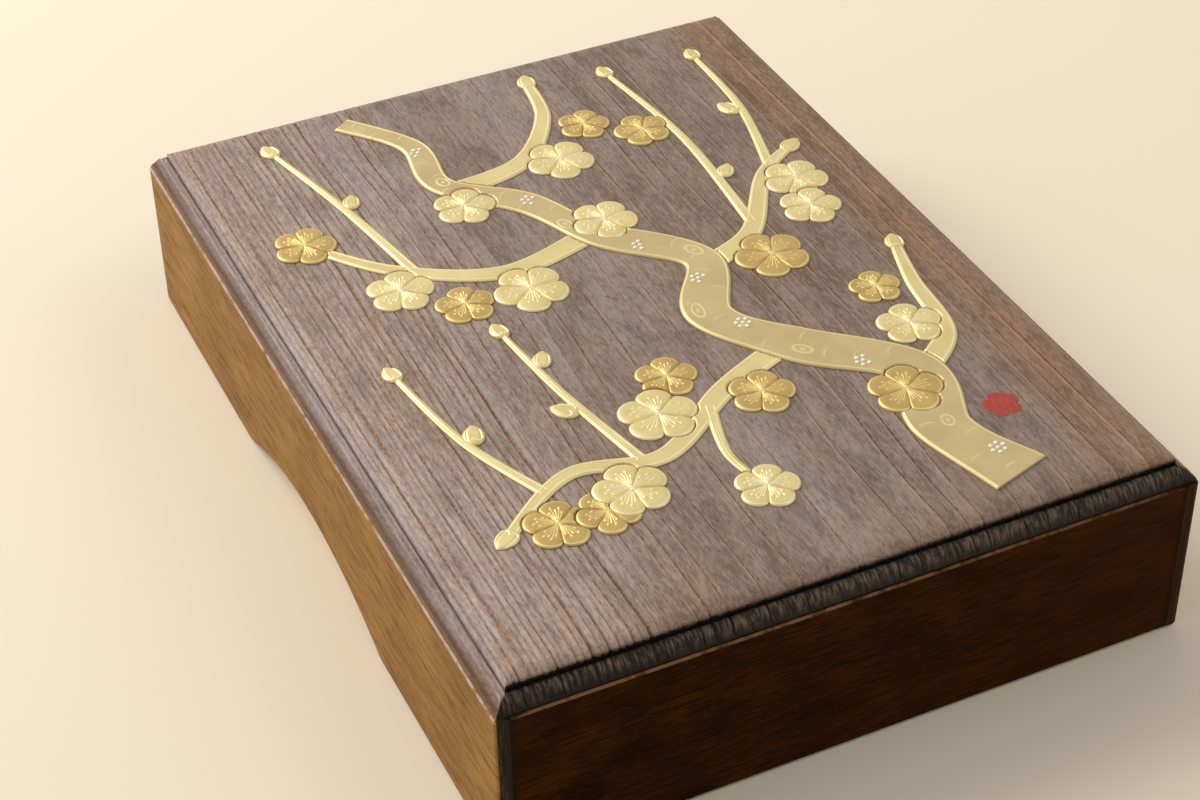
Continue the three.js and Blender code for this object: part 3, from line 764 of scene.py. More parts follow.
# %% The top board's surface
FURROW_DEPTH, FLUTE_DEPTH, FLUTED_CHAR = 0.36 * MM, 0.42 * MM, 0.9
DEEPER_AT_ENDS, SHALLOWER_AT_HEART = 0.9, 0.45
STILL_RINGS, DRIFT_POWER = 3, 4


def top_board():
    """x is the column, moved over by the grain's drift, which fades towards the moulding; y is
    the row; z is the height of the outer of the two rings. Each point is then pushed in, square to
    the moulding, by its furrow's depth. The two ends are pushed in by the flutes of the end grain
    too. A cell on a mitre is turned where its diagonal would run across the mitre."""
    x = across + grain_drift(across, along) * ramp((np.abs(across) / flat_reach) ** DRIFT_POWER, 1, 0)
    slope = np.stack([-np.gradient(ring_height), np.gradient(ring_in)])
    slope /= np.maximum(np.linalg.norm(slope, axis=0), 1e-9)
    out, up = slope[0][ring], slope[1][ring]
    flute = (dice.uniform(0, 1, len(column_places)) + dice.uniform(0, 1, across.shape)) / 2
    depth = FURROW_DEPTH * masks["furrow"] * (1 + DEEPER_AT_ENDS * masks["char"])
    depth = depth * (1 - SHALLOWER_AT_HEART * masks["heart"])
    depth = depth + FLUTE_DEPTH * flute * (masks["char"] > FLUTED_CHAR)
    push = -depth * ramp(ring, 0, STILL_RINGS)
    y = along - np.where(at_end, np.sign(along) * out * push, 0)
    x = x - np.where(column_ring < row_ring, np.sign(x) * out * push, 0)
    points = np.stack([x, y, ring_height[ring] + push * up], axis=-1)
    rows, columns = across.shape
    cells, rim = shell_faces(rows, columns, False)
    row, column = np.divmod(cells[:, 0], columns)
    other_mitre = (row < rows // 2) != (column < columns // 2)
    cells[other_mitre] = np.roll(cells[other_mitre], 1, axis=1)
    picks = np.append(np.zeros(len(cells)), 1)
    return make_piece("top_board", points.reshape(-1, 3), [cells, rim], "lid",
                      [charred_top, bare_along], ["lid_top_board"], masks, picks, fold=BOARD_FOLD)


top_board()

# %% [markdown]
# ## Boards with softened arrises
# Each side board is a rounded rectangle carried along the board's length. Carrying a section suits
# a board because everything that changes does so along it: the finger arch lifts the section's
# foot, the corner rebate thins it, and the lid's upright corners draw its outer face in. The points
# on the arrises carry a mask, so that handling can wear them, and those at the ends another.

# %% A board's section
ARC_STEPS = 4
PER_CORNER = ARC_STEPS + 3
ARRIS_FADE, FADE_SHARE = 1.2 * MM, 0.45
INNER_WEAR = 0.3


def board_sections(outer, thickness, foot, top, radius):
    """Rounded rectangles, one for each station: points (depth from the outer plane, height),
    and how near each lies to an arris. Each corner has a quarter circle between two points
    further off, where the wear has faded out."""
    inner = outer + thickness
    fade = np.minimum(ARRIS_FADE, FADE_SHARE * thickness)
    turn = np.linspace(0, QUARTER_TURN, ARC_STEPS + 1)
    points, near = [], []
    for depth, height, inward, up in ((outer, foot, 1, 1), (inner, foot, -1, 1),
                                      (inner, top, -1, -1), (outer, top, 1, -1)):
        corner = np.stack([depth[:, None] + inward * radius * (1 - np.cos(turn)),
                           height[:, None] + up * radius * (1 - np.sin(turn))], axis=-1)
        beside = np.stack([depth, height + up * fade], axis=-1)[:, None]
        below = np.stack([depth + inward * fade, height], axis=-1)[:, None]
        run = np.concatenate([beside, corner, below], axis=1)
        points.append(run if inward * up > 0 else run[:, ::-1])
        strength = 1 if inward > 0 > up else INNER_WEAR
        near.extend([0] + [strength] * (ARC_STEPS + 1) + [0])
    return np.concatenate(points, axis=1), np.array(near, float)


print(4 * PER_CORNER, "points round a board")

# %% A board
# millimetres from the end of a plain board
NEAR_END = MM * np.array([4, 3, 2, 1.5, 1, 0.5, 0])
PLAIN_STATIONS = 33
END_START, TOP_END_FACTOR = 1.3, 3
TONGUE_SHARE = 0.75
GLUE_LINE = 0.1 * MM
# columns of a section, counted from the foot of the outer face
INNER_FACE = slice(PER_CORNER + 2, 3 * PER_CORNER - 3)
UPPER_EDGE = slice(2 * PER_CORNER + 1, 4 * PER_CORNER - 3)


def board(name, node, along_y, body, materials, radius, stations=None, thickness=None,
          outer=0, foot=None, end_fade=0):
    """A section carried along a node's box, with flat caps. A plain board runs straight from end
    to end. Depth is measured from the outer plane towards the middle of the box. The mask of the
    ends fades over end_fade, and over three times that along the upper edge. A second material
    covers the inner face, but not that of a tongue."""
    low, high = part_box(node)
    axis, other = (1, 0) if along_y else (0, 1)
    if stations is None:
        near_end = high[axis] - NEAR_END
        inner = np.linspace(low[axis], high[axis], PLAIN_STATIONS)[1:-1]
        stations = np.concatenate([-near_end[::-1], inner, near_end])
    thickness = high[other] - low[other] if thickness is None else thickness
    foot = low.z if foot is None else foot
    spread = [np.broadcast_to(np.asarray(value, float), stations.shape)
              for value in (outer, thickness, foot, high.z)]
    section, near = board_sections(*spread, radius)
    rows, columns = section.shape[:2]
    outer_plane = low[other] if abs(low[other]) > abs(high[other]) else high[other]
    inwards = np.sign(outer_plane) * (abs(outer_plane) - section[..., 0])
    lengthwise = np.broadcast_to(stations[:, None], inwards.shape)
    places = (inwards, lengthwise) if along_y else (lengthwise, inwards)
    points = np.stack([*places, section[..., 1]], axis=-1).reshape(-1, 3)
    masks = {"arris": np.tile(near, rows), "end": np.zeros(section.shape[:2])}
    if end_fade:
        reach = np.full(columns, end_fade)
        reach[UPPER_EDGE] *= TOP_END_FACTOR
        from_end = np.abs(stations).max() - np.abs(stations)
        masks["end"] = np.clip(END_START - from_end[:, None] / reach, 0, 1)
    picks = np.zeros((rows - 1, columns))
    picks[:, INNER_FACE] = len(materials) - 1
    picks[spread[1][:-1] < TONGUE_SHARE * spread[1].max()] = 0
    return make_piece(name, points, shell_faces(rows, columns, True), body, materials, [node],
                      masks, np.append(picks, [0, 0]), fold=BOARD_FOLD)


def rebated(node, neighbour, lead, corner):
    """Stations from end to end, and the thickness at each, of a board that covers its neighbour's
    end. lead gives those of half the board up to a shoulder, where a tongue takes over, and
    corner the tongue's, measured from the end."""
    low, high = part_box(node)
    beside_low, beside_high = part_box(neighbour)
    shoulder = beside_low.y - GLUE_LINE
    tongue = max(high.x, -low.x) - beside_high.x - GLUE_LINE
    half = np.concatenate([lead(shoulder), [shoulder], high.y - corner])
    thickness = np.full(len(half), high.x - low.x)
    thickness[-len(corner) - 1:] = tongue
    return np.concatenate([-half[::-1], half]), np.concatenate([thickness[::-1], thickness])


print(PLAIN_STATIONS - 2 + 2 * len(NEAR_END), "stations along a plain board")

# %% The lid's long sides, with their finger arches
ARCH_CHORD, ARCH_RISE, EAR_RADIUS = 136 * MM, 15.5 * MM, 6 * MM
CORNER_RADIUS = 1.8 * MM
CORNER_SHARES = np.array([1, 0.8, 0.6, 0.4, 0.25, 0.12, 0.04, 0])
FIRST_STATION, BEFORE_EAR, AFTER_EAR = 2 * MM, 1 * MM, 4 * MM
ARCH_STATIONS, EAR_STATIONS, STRAIGHT_STATIONS = 24, 7, 18
LID_ARRIS = 0.7 * MM
LONG_END_FADE, SHORT_END_FADE = 0.6 * MM, 2.4 * MM


def arch_foot(y, floor_gap):
    """The lower edge's height. Over the middle it is one big circle; at each end of the arch a
    small circle, which touches both the big one and the straight edge, rounds the turn."""
    radius = ARCH_CHORD**2 / (8 * ARCH_RISE) + ARCH_RISE / 2
    centre = floor_gap + ARCH_RISE - radius
    ear = floor_gap + EAR_RADIUS
    ear_place = np.sqrt((radius + EAR_RADIUS) ** 2 - (ear - centre) ** 2)
    touch = ear_place * radius / (radius + EAR_RADIUS)
    y = np.abs(y)
    big = centre + np.sqrt(np.maximum(radius**2 - y**2, 0))
    small = ear - np.sqrt(np.maximum(EAR_RADIUS**2 - (ear_place - y) ** 2, 0))
    return np.where(y < touch, big, np.where(y < ear_place, small, floor_gap)), touch, ear_place


def lid_long_side(side_name):
    """Stations close together where the arch turns and where the corner is rounded."""
    node = f"lid_long_side_{side_name}"
    low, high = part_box(node)
    _, touch, ear_place = arch_foot(np.zeros(1), low.z)
    stations, thickness = rebated(
        node, "lid_short_side_back",
        lambda shoulder: np.concatenate([
            np.linspace(FIRST_STATION, touch - BEFORE_EAR, ARCH_STATIONS),
            np.linspace(touch, ear_place, EAR_STATIONS),
            np.linspace(ear_place + AFTER_EAR, shoulder, STRAIGHT_STATIONS)]),
        CORNER_RADIUS * CORNER_SHARES)
    past_corner = np.maximum(CORNER_RADIUS - (high.y - np.abs(stations)), 0)
    outer = CORNER_RADIUS - np.sqrt(CORNER_RADIUS**2 - past_corner**2)
    return board(f"long_side_{side_name}", node, True, "lid", [golden_and_lit_side, bare_along],
                 LID_ARRIS, stations, thickness - outer, outer, arch_foot(stations, low.z)[0], LONG_END_FADE)


for side_name in ("left", "right"):
    lid_long_side(side_name)
for end_name in ("front", "back"):
    board(f"short_side_{end_name}", f"lid_short_side_{end_name}", False, "lid",
          [burnt_and_shaded_side, bare_across], LID_ARRIS, end_fade=SHORT_END_FADE)

# %% [markdown]
# ## The base
# The base is bare wood. Its long boards are rebated at the ends like the lid's, its short boards
# sit in the rebates, and the bottom board closes it from below. Wooden pegs hold it all together.
# A peg is cut off flush and then swells a little, so each is turned with a slightly domed end that
# stands a hair proud of its board, with a dark line of painted shade round it.

# %% Base boards
BASE_ARRIS = 0.6 * MM
PEG_PROUD = 0.06 * MM
BASE_FIRST_STATION, BASE_STATIONS = 5 * MM, 14
BASE_CORNER = MM * np.array([1, 0])

for side_name in ("left", "right"):
    node = f"base_long_side_{side_name}"
    stations, thickness = rebated(
        node, "base_short_side_back",
        lambda shoulder: np.linspace(BASE_FIRST_STATION, shoulder, BASE_STATIONS), BASE_CORNER)
    board(f"base_side_{side_name}", node, True, "base", [bare_along], BASE_ARRIS,
          stations, thickness)
for end_name in ("front", "back"):
    board(f"base_end_{end_name}", f"base_short_side_{end_name}", False, "base",
          [bare_across], BASE_ARRIS)
bottom_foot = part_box("base_bottom_board")[0].z + 2 * PEG_PROUD
board("bottom_board", "base_bottom_board", True, "base", [bare_along], BASE_ARRIS,
      foot=bottom_foot)

# %% Pegs
PEG_SIDES = 24
HEAD_SHARES = np.array([0.02, 0.35, 0.7, 0.86, 1])


def peg(node):
    """A turned rod: a radius and a height for each ring, and the ring carried round the axis. The
    outer end is a shallow dome, proud + proud x (1 - share^2), whose rim carries a mask for a line
    of painted shade. A peg in the bottom board stands back, so that it doesn't reach below the box."""
    low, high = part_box(node)
    middle = (low + high) / 2
    axis = int(np.argmax(np.array(high - low)))
    radius, length = min(high - low) / 2, (high - low)[axis]
    share = np.append(HEAD_SHARES, 1)
    height = np.append(length / 2 + PEG_PROUD * (2 - HEAD_SHARES**2), -length / 2)
    turn = np.linspace(0, 2 * np.pi, PEG_SIDES, endpoint=False)
    rod = np.empty((len(share), PEG_SIDES, 3))
    others = [other for other in range(3) if other != axis]
    rod[..., others] = radius * share[:, None, None] * np.stack([np.cos(turn), np.sin(turn)], axis=-1)
    outward = -1 if middle[axis] < 0 or axis == 2 else 1
    rod[..., axis] = outward * height[:, None]
    if axis == 2:
        rod[..., 2] += 2 * PEG_PROUD
    rim = np.repeat(share == 1, PEG_SIDES)
    return make_piece(node.replace("peg_", "wooden_peg_"), rod.reshape(-1, 3) + np.array(middle),
                      shell_faces(len(share), PEG_SIDES, True), "base", [peg_wood], [node],
                      {"rim": rim})


for node in sorted(frame["nodes"]):
    if node.startswith("peg_"):
        peg(node)

# %% [markdown]
# ## The raised plum tree
# Each part of the picture is a low cushion of lacquer. A branch is a section carried along a
# curve: its width shrinks towards the tip, and its height falls off steeply at the two edges.
# A blossom is worked out in turns and radii, with five petals, notches between them and stamens
# drawn as thin raised lines. Where one thing lies over another, the lower one dips away under it,
# which leaves the fine groove that a lacquerer cuts to set them apart.

# %% The tree's branches
TRUNK_WIDTH, BOUGH_WIDTH, SHOOT_WIDTH = 24 * MM, 11 * MM, 5 * MM
GNARL_COUNT, GNARL_SHARE = 7, 0.07
box_width = 2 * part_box("lid_long_side_right")[1].x
box_length = 2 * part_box("lid_long_side_right")[1].y
# branch: node, width at the foot, share of it left at the tip, and the route in shares of the box
BRANCHES = {
    "trunk": ("relief_trunk", TRUNK_WIDTH, 0.38, [
        (0.275, -0.44), (0.235, -0.345), (0.265, -0.25), (0.15, -0.165), (0.075, -0.08), (0.125, 0.015),
        (0.02, 0.105), (-0.04, 0.195), (-0.135, 0.27), (-0.135, 0.36), (-0.21, 0.44)]),
    "frontBough": ("relief_bough_front", BOUGH_WIDTH, 0.42, [
        (0.13, -0.16), (0.01, -0.2), (-0.12, -0.265), (-0.25, -0.25), (-0.37, -0.31)]),
    "frontShootInner": ("relief_bough_front", SHOOT_WIDTH, 0.5, [
        (-0.15, -0.262), (-0.185, -0.13), (-0.205, -0.01)]),
    "frontShootOuter": ("relief_bough_front", SHOOT_WIDTH, 0.5, [
        (-0.29, -0.266), (-0.345, -0.16), (-0.375, -0.03)]),
    "frontTwig": ("relief_bough_front", SHOOT_WIDTH, 0.5, [
        (-0.02, -0.215), (-0.045, -0.29), (-0.03, -0.35)]),
    "rightBough": ("relief_bough_right", BOUGH_WIDTH, 0.4, [
        (0.115, 0.0), (0.22, 0.035), (0.31, 0.13), (0.385, 0.17)]),
    "rightShootInner": ("relief_bough_right", SHOOT_WIDTH, 0.5, [
        (0.235, 0.05), (0.25, 0.24), (0.225, 0.41)]),
    "rightShootOuter": ("relief_bough_right", SHOOT_WIDTH, 0.5, [
        (0.33, 0.142), (0.37, 0.27), (0.375, 0.4)]),
    "leftBough": ("relief_bough_left", BOUGH_WIDTH, 0.42, [
        (0.01, 0.11), (-0.14, 0.085), (-0.28, 0.14), (-0.375, 0.225)]),
    "leftShoot": ("relief_bough_left", SHOOT_WIDTH, 0.5, [
        (-0.255, 0.13), (-0.29, 0.28), (-0.335, 0.42)]),
    "backBough": ("relief_bough_back", BOUGH_WIDTH, 0.45, [
        (-0.11, 0.255), (0.0, 0.275), (0.08, 0.35), (0.1, 0.43)]),
    "edgeBough": ("relief_bough_edge", BOUGH_WIDTH, 0.4, [
        (0.25, -0.27), (0.345, -0.215), (0.37, -0.12), (0.395, -0.05)]),
}


def heading(left):
    """The angle at which a branch runs, from the direction to its left."""
    return np.arctan2(-left[0, 0], left[0, 1])


def on_branch(name, along):
    """Places, directions to the left and widths at shares of a branch's length. The trunk's
    width also swells and shrinks in seven slow waves."""
    along = np.atleast_1d(along).astype(float)
    _, width, tip_share, route = BRANCHES[name]
    place, way = smooth_curve(np.array(route) * (box_width, box_length), along)
    way /= np.linalg.norm(way, axis=1, keepdims=True)
    left = np.stack([-way[:, 1], way[:, 0]], axis=1)
    gnarl = GNARL_SHARE * np.cos(2 * np.pi * GNARL_COUNT * along) if name == "trunk" else 0
    return place, left, width * (1 + (tip_share - 1) * along) * (1 + gnarl)


print(len(BRANCHES), "branches")

# %% The tree's blossoms
PETALS, PETAL_DIP, PETAL_ROUNDNESS = 5, 0.72, 0.55
BLOSSOM_DIAMETER = 29 * MM
GROOVE = 0.6 * MM
TRUNK_OVERLAP, BRANCH_OVERLAP = 0.28, 0.14
# branch, share along it, side and how far out, share of a full blossom
BLOSSOMS = [
    ("trunk", 0.61, -1, 0.9), ("trunk", 0.16, 1, 0.95), ("trunk", 0.76, 1, 0.85),
    ("frontBough", 0.2, 1, 0.85), ("frontBough", 0.38, -1, 1), ("frontBough", 0.27, -1.9, 0.8),
    ("frontBough", 0.6, 1, 0.95), ("frontBough", 0.73, 2.1, 0.8), ("frontBough", 0.9, 1, 0.85),
    ("frontTwig", 1, 0, 0.8), ("rightBough", 0.26, -1, 1), ("rightBough", 0.5, -1.7, 0.85),
    ("rightBough", 0.68, -1, 0.9), ("rightShootInner", 0.6, 1, 0.8), ("leftBough", 0.3, 1, 1),
    ("leftBough", 0.45, 1.7, 0.8), ("leftBough", 0.62, 1, 0.9), ("leftBough", 1, 0, 0.85),
    ("backBough", 0.4, -1, 0.95), ("backBough", 0.62, -1.6, 0.75), ("edgeBough", 0.42, 1, 0.85),
    ("edgeBough", 0.66, 1.5, 0.7),
]


def petal_outline(angle):
    """A blossom's reach at an angle, as a share of its radius: full in the middle of a petal and
    dipping between petals with a power of a cosine."""
    fullness = np.abs(np.cos(PETALS * angle / 2)) ** PETAL_ROUNDNESS
    return PETAL_DIP + (1 - PETAL_DIP) * fullness


def blossom_place(name, along, side, size):
    """Over its branch, or beside it and covering a little of it: its middle, radius and turn."""
    place, left, width = on_branch(name, along)
    radius = size * BLOSSOM_DIAMETER / 2
    overlap = TRUNK_OVERLAP if name == "trunk" else BRANCH_OVERLAP
    middle = place[0] + left[0] * side * (radius + GROOVE - overlap * width[0])
    return middle, radius, heading(left)


blossoms = [blossom_place(*row) for row in BLOSSOMS]
worst = 0.0
for number, (middle, *_) in enumerate(blossoms, 1):
    low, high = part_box(f"relief_blossom_{number}")
    worst = max(worst, low.x - middle[0], middle[0] - high.x, low.y - middle[1], middle[1] - high.y)
print("blossoms:", len(blossoms), "furthest middle outside its node:", round(worst / MM, 2), "mm")

# %% What lies over what
SEAT, HIDDEN_SHARE, TRUNK_SAMPLES = 0.5 * MM, 0.25, 400
trunk_place, _, trunk_width = on_branch("trunk", np.linspace(0, 1, TRUNK_SAMPLES))


def covered(distance):
    """1 within a quarter of a groove of what lies over a point, fading to 0 at a whole one."""
    return ramp(distance, GROOVE, HIDDEN_SHARE * GROOVE)


def under_blossoms(points, over):
    """How far each point is hidden under the blossoms over it, from 0, clear, to 1, under. The
    distance is measured along the radius, to the blossom's outline."""
    hidden = np.zeros(points.shape[:-1])
    for middle, radius, turn in over:
        x, y = points[..., 0] - middle[0], points[..., 1] - middle[1]
        outline = radius * petal_outline(np.arctan2(y, x) - turn)
        hidden = np.maximum(hidden, covered(np.hypot(x, y) - outline))
    return hidden


def under_trunk(points):
    """The same for the trunk: the distance to the nearest of many points on its middle line,
    less half its width there."""
    flat = points[..., :2].reshape(-1, 2)
    apart = np.linalg.norm(flat[:, None] - trunk_place[None], axis=2)
    distance = apart.min(axis=1) - trunk_width[apart.argmin(axis=1)] / 2
    return covered(distance).reshape(points.shape[:-1])


def settle(points, height, hidden):
    """Heights above the board become points, and what lies under another piece sinks into the
    board. The rim of every relief reaches a little below the surface, so that it is seated."""
    raised = height * (1 - hidden) - SEAT * hidden
    return np.stack([points[..., 0], points[..., 1], field_height + raised], axis=-1)


print("the trunk is covered by", sum(name == "trunk" for name, *_ in BLOSSOMS), "blossoms")

# %% The trunk's drawing
RIM_INSET, RIM_WIDTH, LINE_RELIEF = 1.1 * MM, 0.3 * MM, 0.17 * MM
# share along the trunk and share across it from the middle
KNOTS = [(0.1, -0.25), (0.3, 0.25), (0.415, 0.35), (0.52, -0.3), (0.66, 0.35), (0.82, -0.25)]
KNOT_RADIUS, KNOT_STRETCH = 2.1 * MM, 1.6
STROKE_COUNT, STROKE_REACH, STROKE_WIDTH, STROKE_BOW = 34, 3.6 * MM, 0.28 * MM, 90
STROKE_SWING, STROKE_TURN, STROKE_STRENGTH = 0.55, 2.4, 0.8


def bark_lines(run, u, half):
    """Knots, which are ovals of raised line round a dot, and bark, which is bowed strokes set
    first to one side of the middle and then to the other, as a sine of their number. The strokes
    keep clear of the knots."""
    run, across = run[:, None], u * half[:, None]
    knots, clear = np.zeros_like(across), np.ones_like(across)
    for share, side in KNOTS:
        away = np.hypot((run - share * run[-1]) / KNOT_STRETCH, across - side * half[:, None])
        oval = np.maximum(bell(away - KNOT_RADIUS, RIM_WIDTH), bell(away, 2 * RIM_WIDTH))
        knots = np.maximum(knots, oval)
        clear = np.minimum(clear, ramp(away - 1.5 * KNOT_RADIUS, 0, RIM_WIDTH))
    strokes = np.zeros_like(across)
    for number in range(STROKE_COUNT):
        side = across - STROKE_SWING * np.sin(STROKE_TURN * number) * half[:, None]
        bowed = run - (number + 0.5) / STROKE_COUNT * run[-1] + side**2 * STROKE_BOW
        reach = np.clip(2 * (1 - np.abs(side) / STROKE_REACH), 0, 1)
        strokes = np.maximum(strokes, bell(bowed, STROKE_WIDTH) * reach)
    return np.maximum(knots, STROKE_STRENGTH * strokes * clear)


print(len(KNOTS), "knots and", STROKE_COUNT, "strokes of bark")

# %% A branch's surface
TRUNK_RELIEF, BOUGH_RELIEF = 1.0 * MM, 0.8 * MM
EDGE_ROUNDING, LEAST_POWER, MOST_POWER = 0.9 * MM, 2.5, 24
WIDE_FROM, WIDE_TO = 1.6 * MM, 2.6 * MM
LINES_ABOVE, RIM_FROM = 0.12 * MM, 0.999
CLOTH_RELIEF, CLOTH_LENGTH, CLOTH_TURN = 0.05 * MM, 3.1 * MM, 2.2


def branch_surface(name, relief, steps, columns):
    """A section carried along the branch. u runs from -1 to 1 across it, and the height is
    relief x (1 - |u|^p)^(1/2), with p large on a wide branch, so that it is flat with round edges.
    A raised line follows each edge of a wide branch, and runs down the middle of a thin one. The
    trunk also has its bark, and the slow waves of the cloth under the lacquer."""
    place, left, width = on_branch(name, np.linspace(0, 1, steps))
    u = np.sin(np.linspace(-QUARTER_TURN, QUARTER_TURN, columns))
    half = width / 2
    across = u * half[:, None]
    points = place[:, None] + left[:, None] * across[..., None]
    run = np.concatenate([[0], np.cumsum(np.linalg.norm(np.diff(place, axis=0), axis=1))])
    to_end = np.minimum(run, run[-1] - run)[:, None]
    at_end = np.sqrt(1 - ramp(to_end, EDGE_ROUNDING, 0) ** 2)
    power = np.clip(2 * half / EDGE_ROUNDING, LEAST_POWER, MOST_POWER)[:, None]
    height = relief * np.sqrt(1 - np.abs(u) ** power) * at_end
    wide = ramp(half, WIDE_FROM, WIDE_TO)[:, None]
    along_edge = bell((1 - np.abs(u)) * half[:, None] - RIM_INSET, RIM_WIDTH)
    line = np.maximum(along_edge * wide, bell(across, RIM_WIDTH) * (1 - wide))
    hidden = under_blossoms(points, blossoms)
    cloth = 0
    if name == "trunk":
        line = np.maximum(line, bark_lines(run, u, half))
        cloth = CLOTH_RELIEF * np.sin(run / CLOTH_LENGTH)[:, None] * np.cos(CLOTH_TURN * u)
    else:
        hidden = np.maximum(hidden, under_trunk(points))
    line = line * at_end
    height = np.where(height > LINES_ABOVE, height + cloth + LINE_RELIEF * line, height)
    height = np.where((np.abs(u) > RIM_FROM) | (to_end <= 0), -SEAT, height)
    return settle(points, height, hidden), line * (1 - hidden), False


print("relief, in mm: trunk", TRUNK_RELIEF / MM, "boughs", BOUGH_RELIEF / MM)

# %% Discs
FIRST_RING, RING_CROWDING = 0.02, 0.9


def disc_surface(middle, radius, turn, rings, sides, outline, height_and_line, stretch=1.0):
    """Rings round a middle. A ring's share of the way out is spaced closer towards the rim, and
    the height comes from the share and the angle."""
    share = np.sin(np.linspace(FIRST_RING, QUARTER_TURN, rings)) ** RING_CROWDING
    angle = np.linspace(0, 2 * np.pi, sides, endpoint=False)
    share, angle = np.meshgrid(share, angle, indexing="ij")
    reach = radius * share * outline(angle)
    along, across = reach * np.cos(angle) * stretch, reach * np.sin(angle)
    x = middle[0] + along * np.cos(turn) - across * np.sin(turn)
    y = middle[1] + along * np.sin(turn) + across * np.cos(turn)
    height, line = height_and_line(share, angle, reach)
    height[-1] = -SEAT
    return np.stack([x, y], axis=-1), height, line


def dome(relief, power):
    """The height over a plain dome, relief x (1 - share^power)^(1/2), with no lines on it."""
    return lambda share, angle, reach: (relief * np.sqrt(np.clip(1 - share**power, 0, 1)), share * 0)


print("a disc's first ring lies at", round(FIRST_RING**RING_CROWDING, 3), "of its reach")

# %% A blossom's surface
BLOSSOM_RELIEF, BLOSSOM_POWER = 1.2 * MM, 9
SADDLE_SHARE, PETAL_CREST_SHARE = 0.78, 0.22
NOTCH_WIDTH, NOTCH_DEPTH, NOTCH_FROM, NOTCH_TO = 0.3 * MM, 0.42 * MM, 0.22, 0.42
HOLLOW_PLACE, HOLLOW_WIDTH, HOLLOW_DEPTH = 0.6, 0.22, 0.16 * MM
PETAL_LINE_INSET, PETAL_LINE_WIDTH, PETAL_LINE_RELIEF = 0.75 * MM, 0.32 * MM, 0.1 * MM
# lean from the petal's middle in radians, and length as a share of the radius
STAMENS = [(-0.36, 0.5), (-0.18, 0.64), (0.0, 0.56), (0.18, 0.66), (0.36, 0.52)]
STAMEN_WIDTH, STAMEN_RELIEF, BEAD_WIDTH, BEAD_RELIEF = 0.17 * MM, 0.16 * MM, 0.42 * MM, 0.3 * MM
STAMEN_FROM, STAMEN_FULL, STAMEN_TAPER = 0.1, 0.15, 0.03
BUTTON_RADIUS, BUTTON_RELIEF, BUTTON_SHINE = 1.5 * MM, 0.3 * MM, 3


def blossom_height(radius):
    """The height over one blossom: a cushion whose edge rounds down, a notch between petals, a
    hollow in each petal, a raised rim line, stamens as thin lines with a bead at each end, and a
    button in the middle. The same stamens and rim are marked as bright lines."""
    petal = 2 * np.pi / PETALS

    def shape(share, angle, reach):
        full = np.abs(np.cos(PETALS * angle / 2))
        height = BLOSSOM_RELIEF * (SADDLE_SHARE + PETAL_CREST_SHARE * full**0.5)
        height = height * np.sqrt(np.clip(1 - share**BLOSSOM_POWER, 0, 1))
        off_notch = np.abs((angle % petal) - petal / 2)
        notch = bell(reach * np.sin(off_notch), NOTCH_WIDTH) * ramp(share, NOTCH_FROM, NOTCH_TO)
        hollow = bell(share - HOLLOW_PLACE, HOLLOW_WIDTH) * full**2
        line = bell((1 - share) * radius - PETAL_LINE_INSET, PETAL_LINE_WIDTH) * (1 - notch)
        height = height - NOTCH_DEPTH * notch - HOLLOW_DEPTH * hollow + PETAL_LINE_RELIEF * line
        off_middle = (angle + petal / 2) % petal - petal / 2
        for lean, length in STAMENS:
            off_line = reach * np.sin(off_middle - lean)
            on_line = ramp(share, length, length - STAMEN_TAPER) * ramp(share, STAMEN_FROM, STAMEN_FULL)
            stamen = bell(off_line, STAMEN_WIDTH) * on_line
            bead = bell(np.hypot(off_line, (share - length) * radius), BEAD_WIDTH)
            height = height + STAMEN_RELIEF * stamen + BEAD_RELIEF * bead
            line = np.maximum(line, np.maximum(stamen, bead))
        button = np.clip(1 - (reach / BUTTON_RADIUS) ** 2, 0, 1)
        line = np.maximum(line, np.clip(BUTTON_SHINE * button, 0, 1))
        return height + BUTTON_RELIEF * np.sqrt(button), line
    return shape


print("a petal spans", round(360 / PETALS), "degrees and has", len(STAMENS), "stamens")

# %% A bud's surface
BUD_RELIEF, BUD_POWER = 1.0 * MM, 6
BUD_ROUND, BUD_TIP, BUD_TIP_SPREAD = 0.8, 0.2, 0.45
BUD_RIM, BUD_RIM_FADE = 0.97, 0.05
PARTING = 0.5
BUD_GROOVE_WIDTH, BUD_GROOVE_DEPTH = 0.26 * MM, 0.26 * MM
BUD_LINE_INSET, BUD_LINE_WIDTH, BUD_LINE_RELIEF = 0.55 * MM, 0.25 * MM, 0.1 * MM
CALYX_PLACE, CALYX_SCALLOP, CALYX_SCALLOPS = 0.25, 0.2, 3
CALYX_EDGE, CALYX_LINE_WIDTH, CALYX_RELIEF = 0.1 * MM, 0.3 * MM, 0.12 * MM


def bud_outline(angle):
    """A bud's reach at an angle: nearly round, and drawn out to a point at its tip."""
    return BUD_ROUND + BUD_TIP * bell((angle + np.pi) % (2 * np.pi) - np.pi, BUD_TIP_SPREAD)


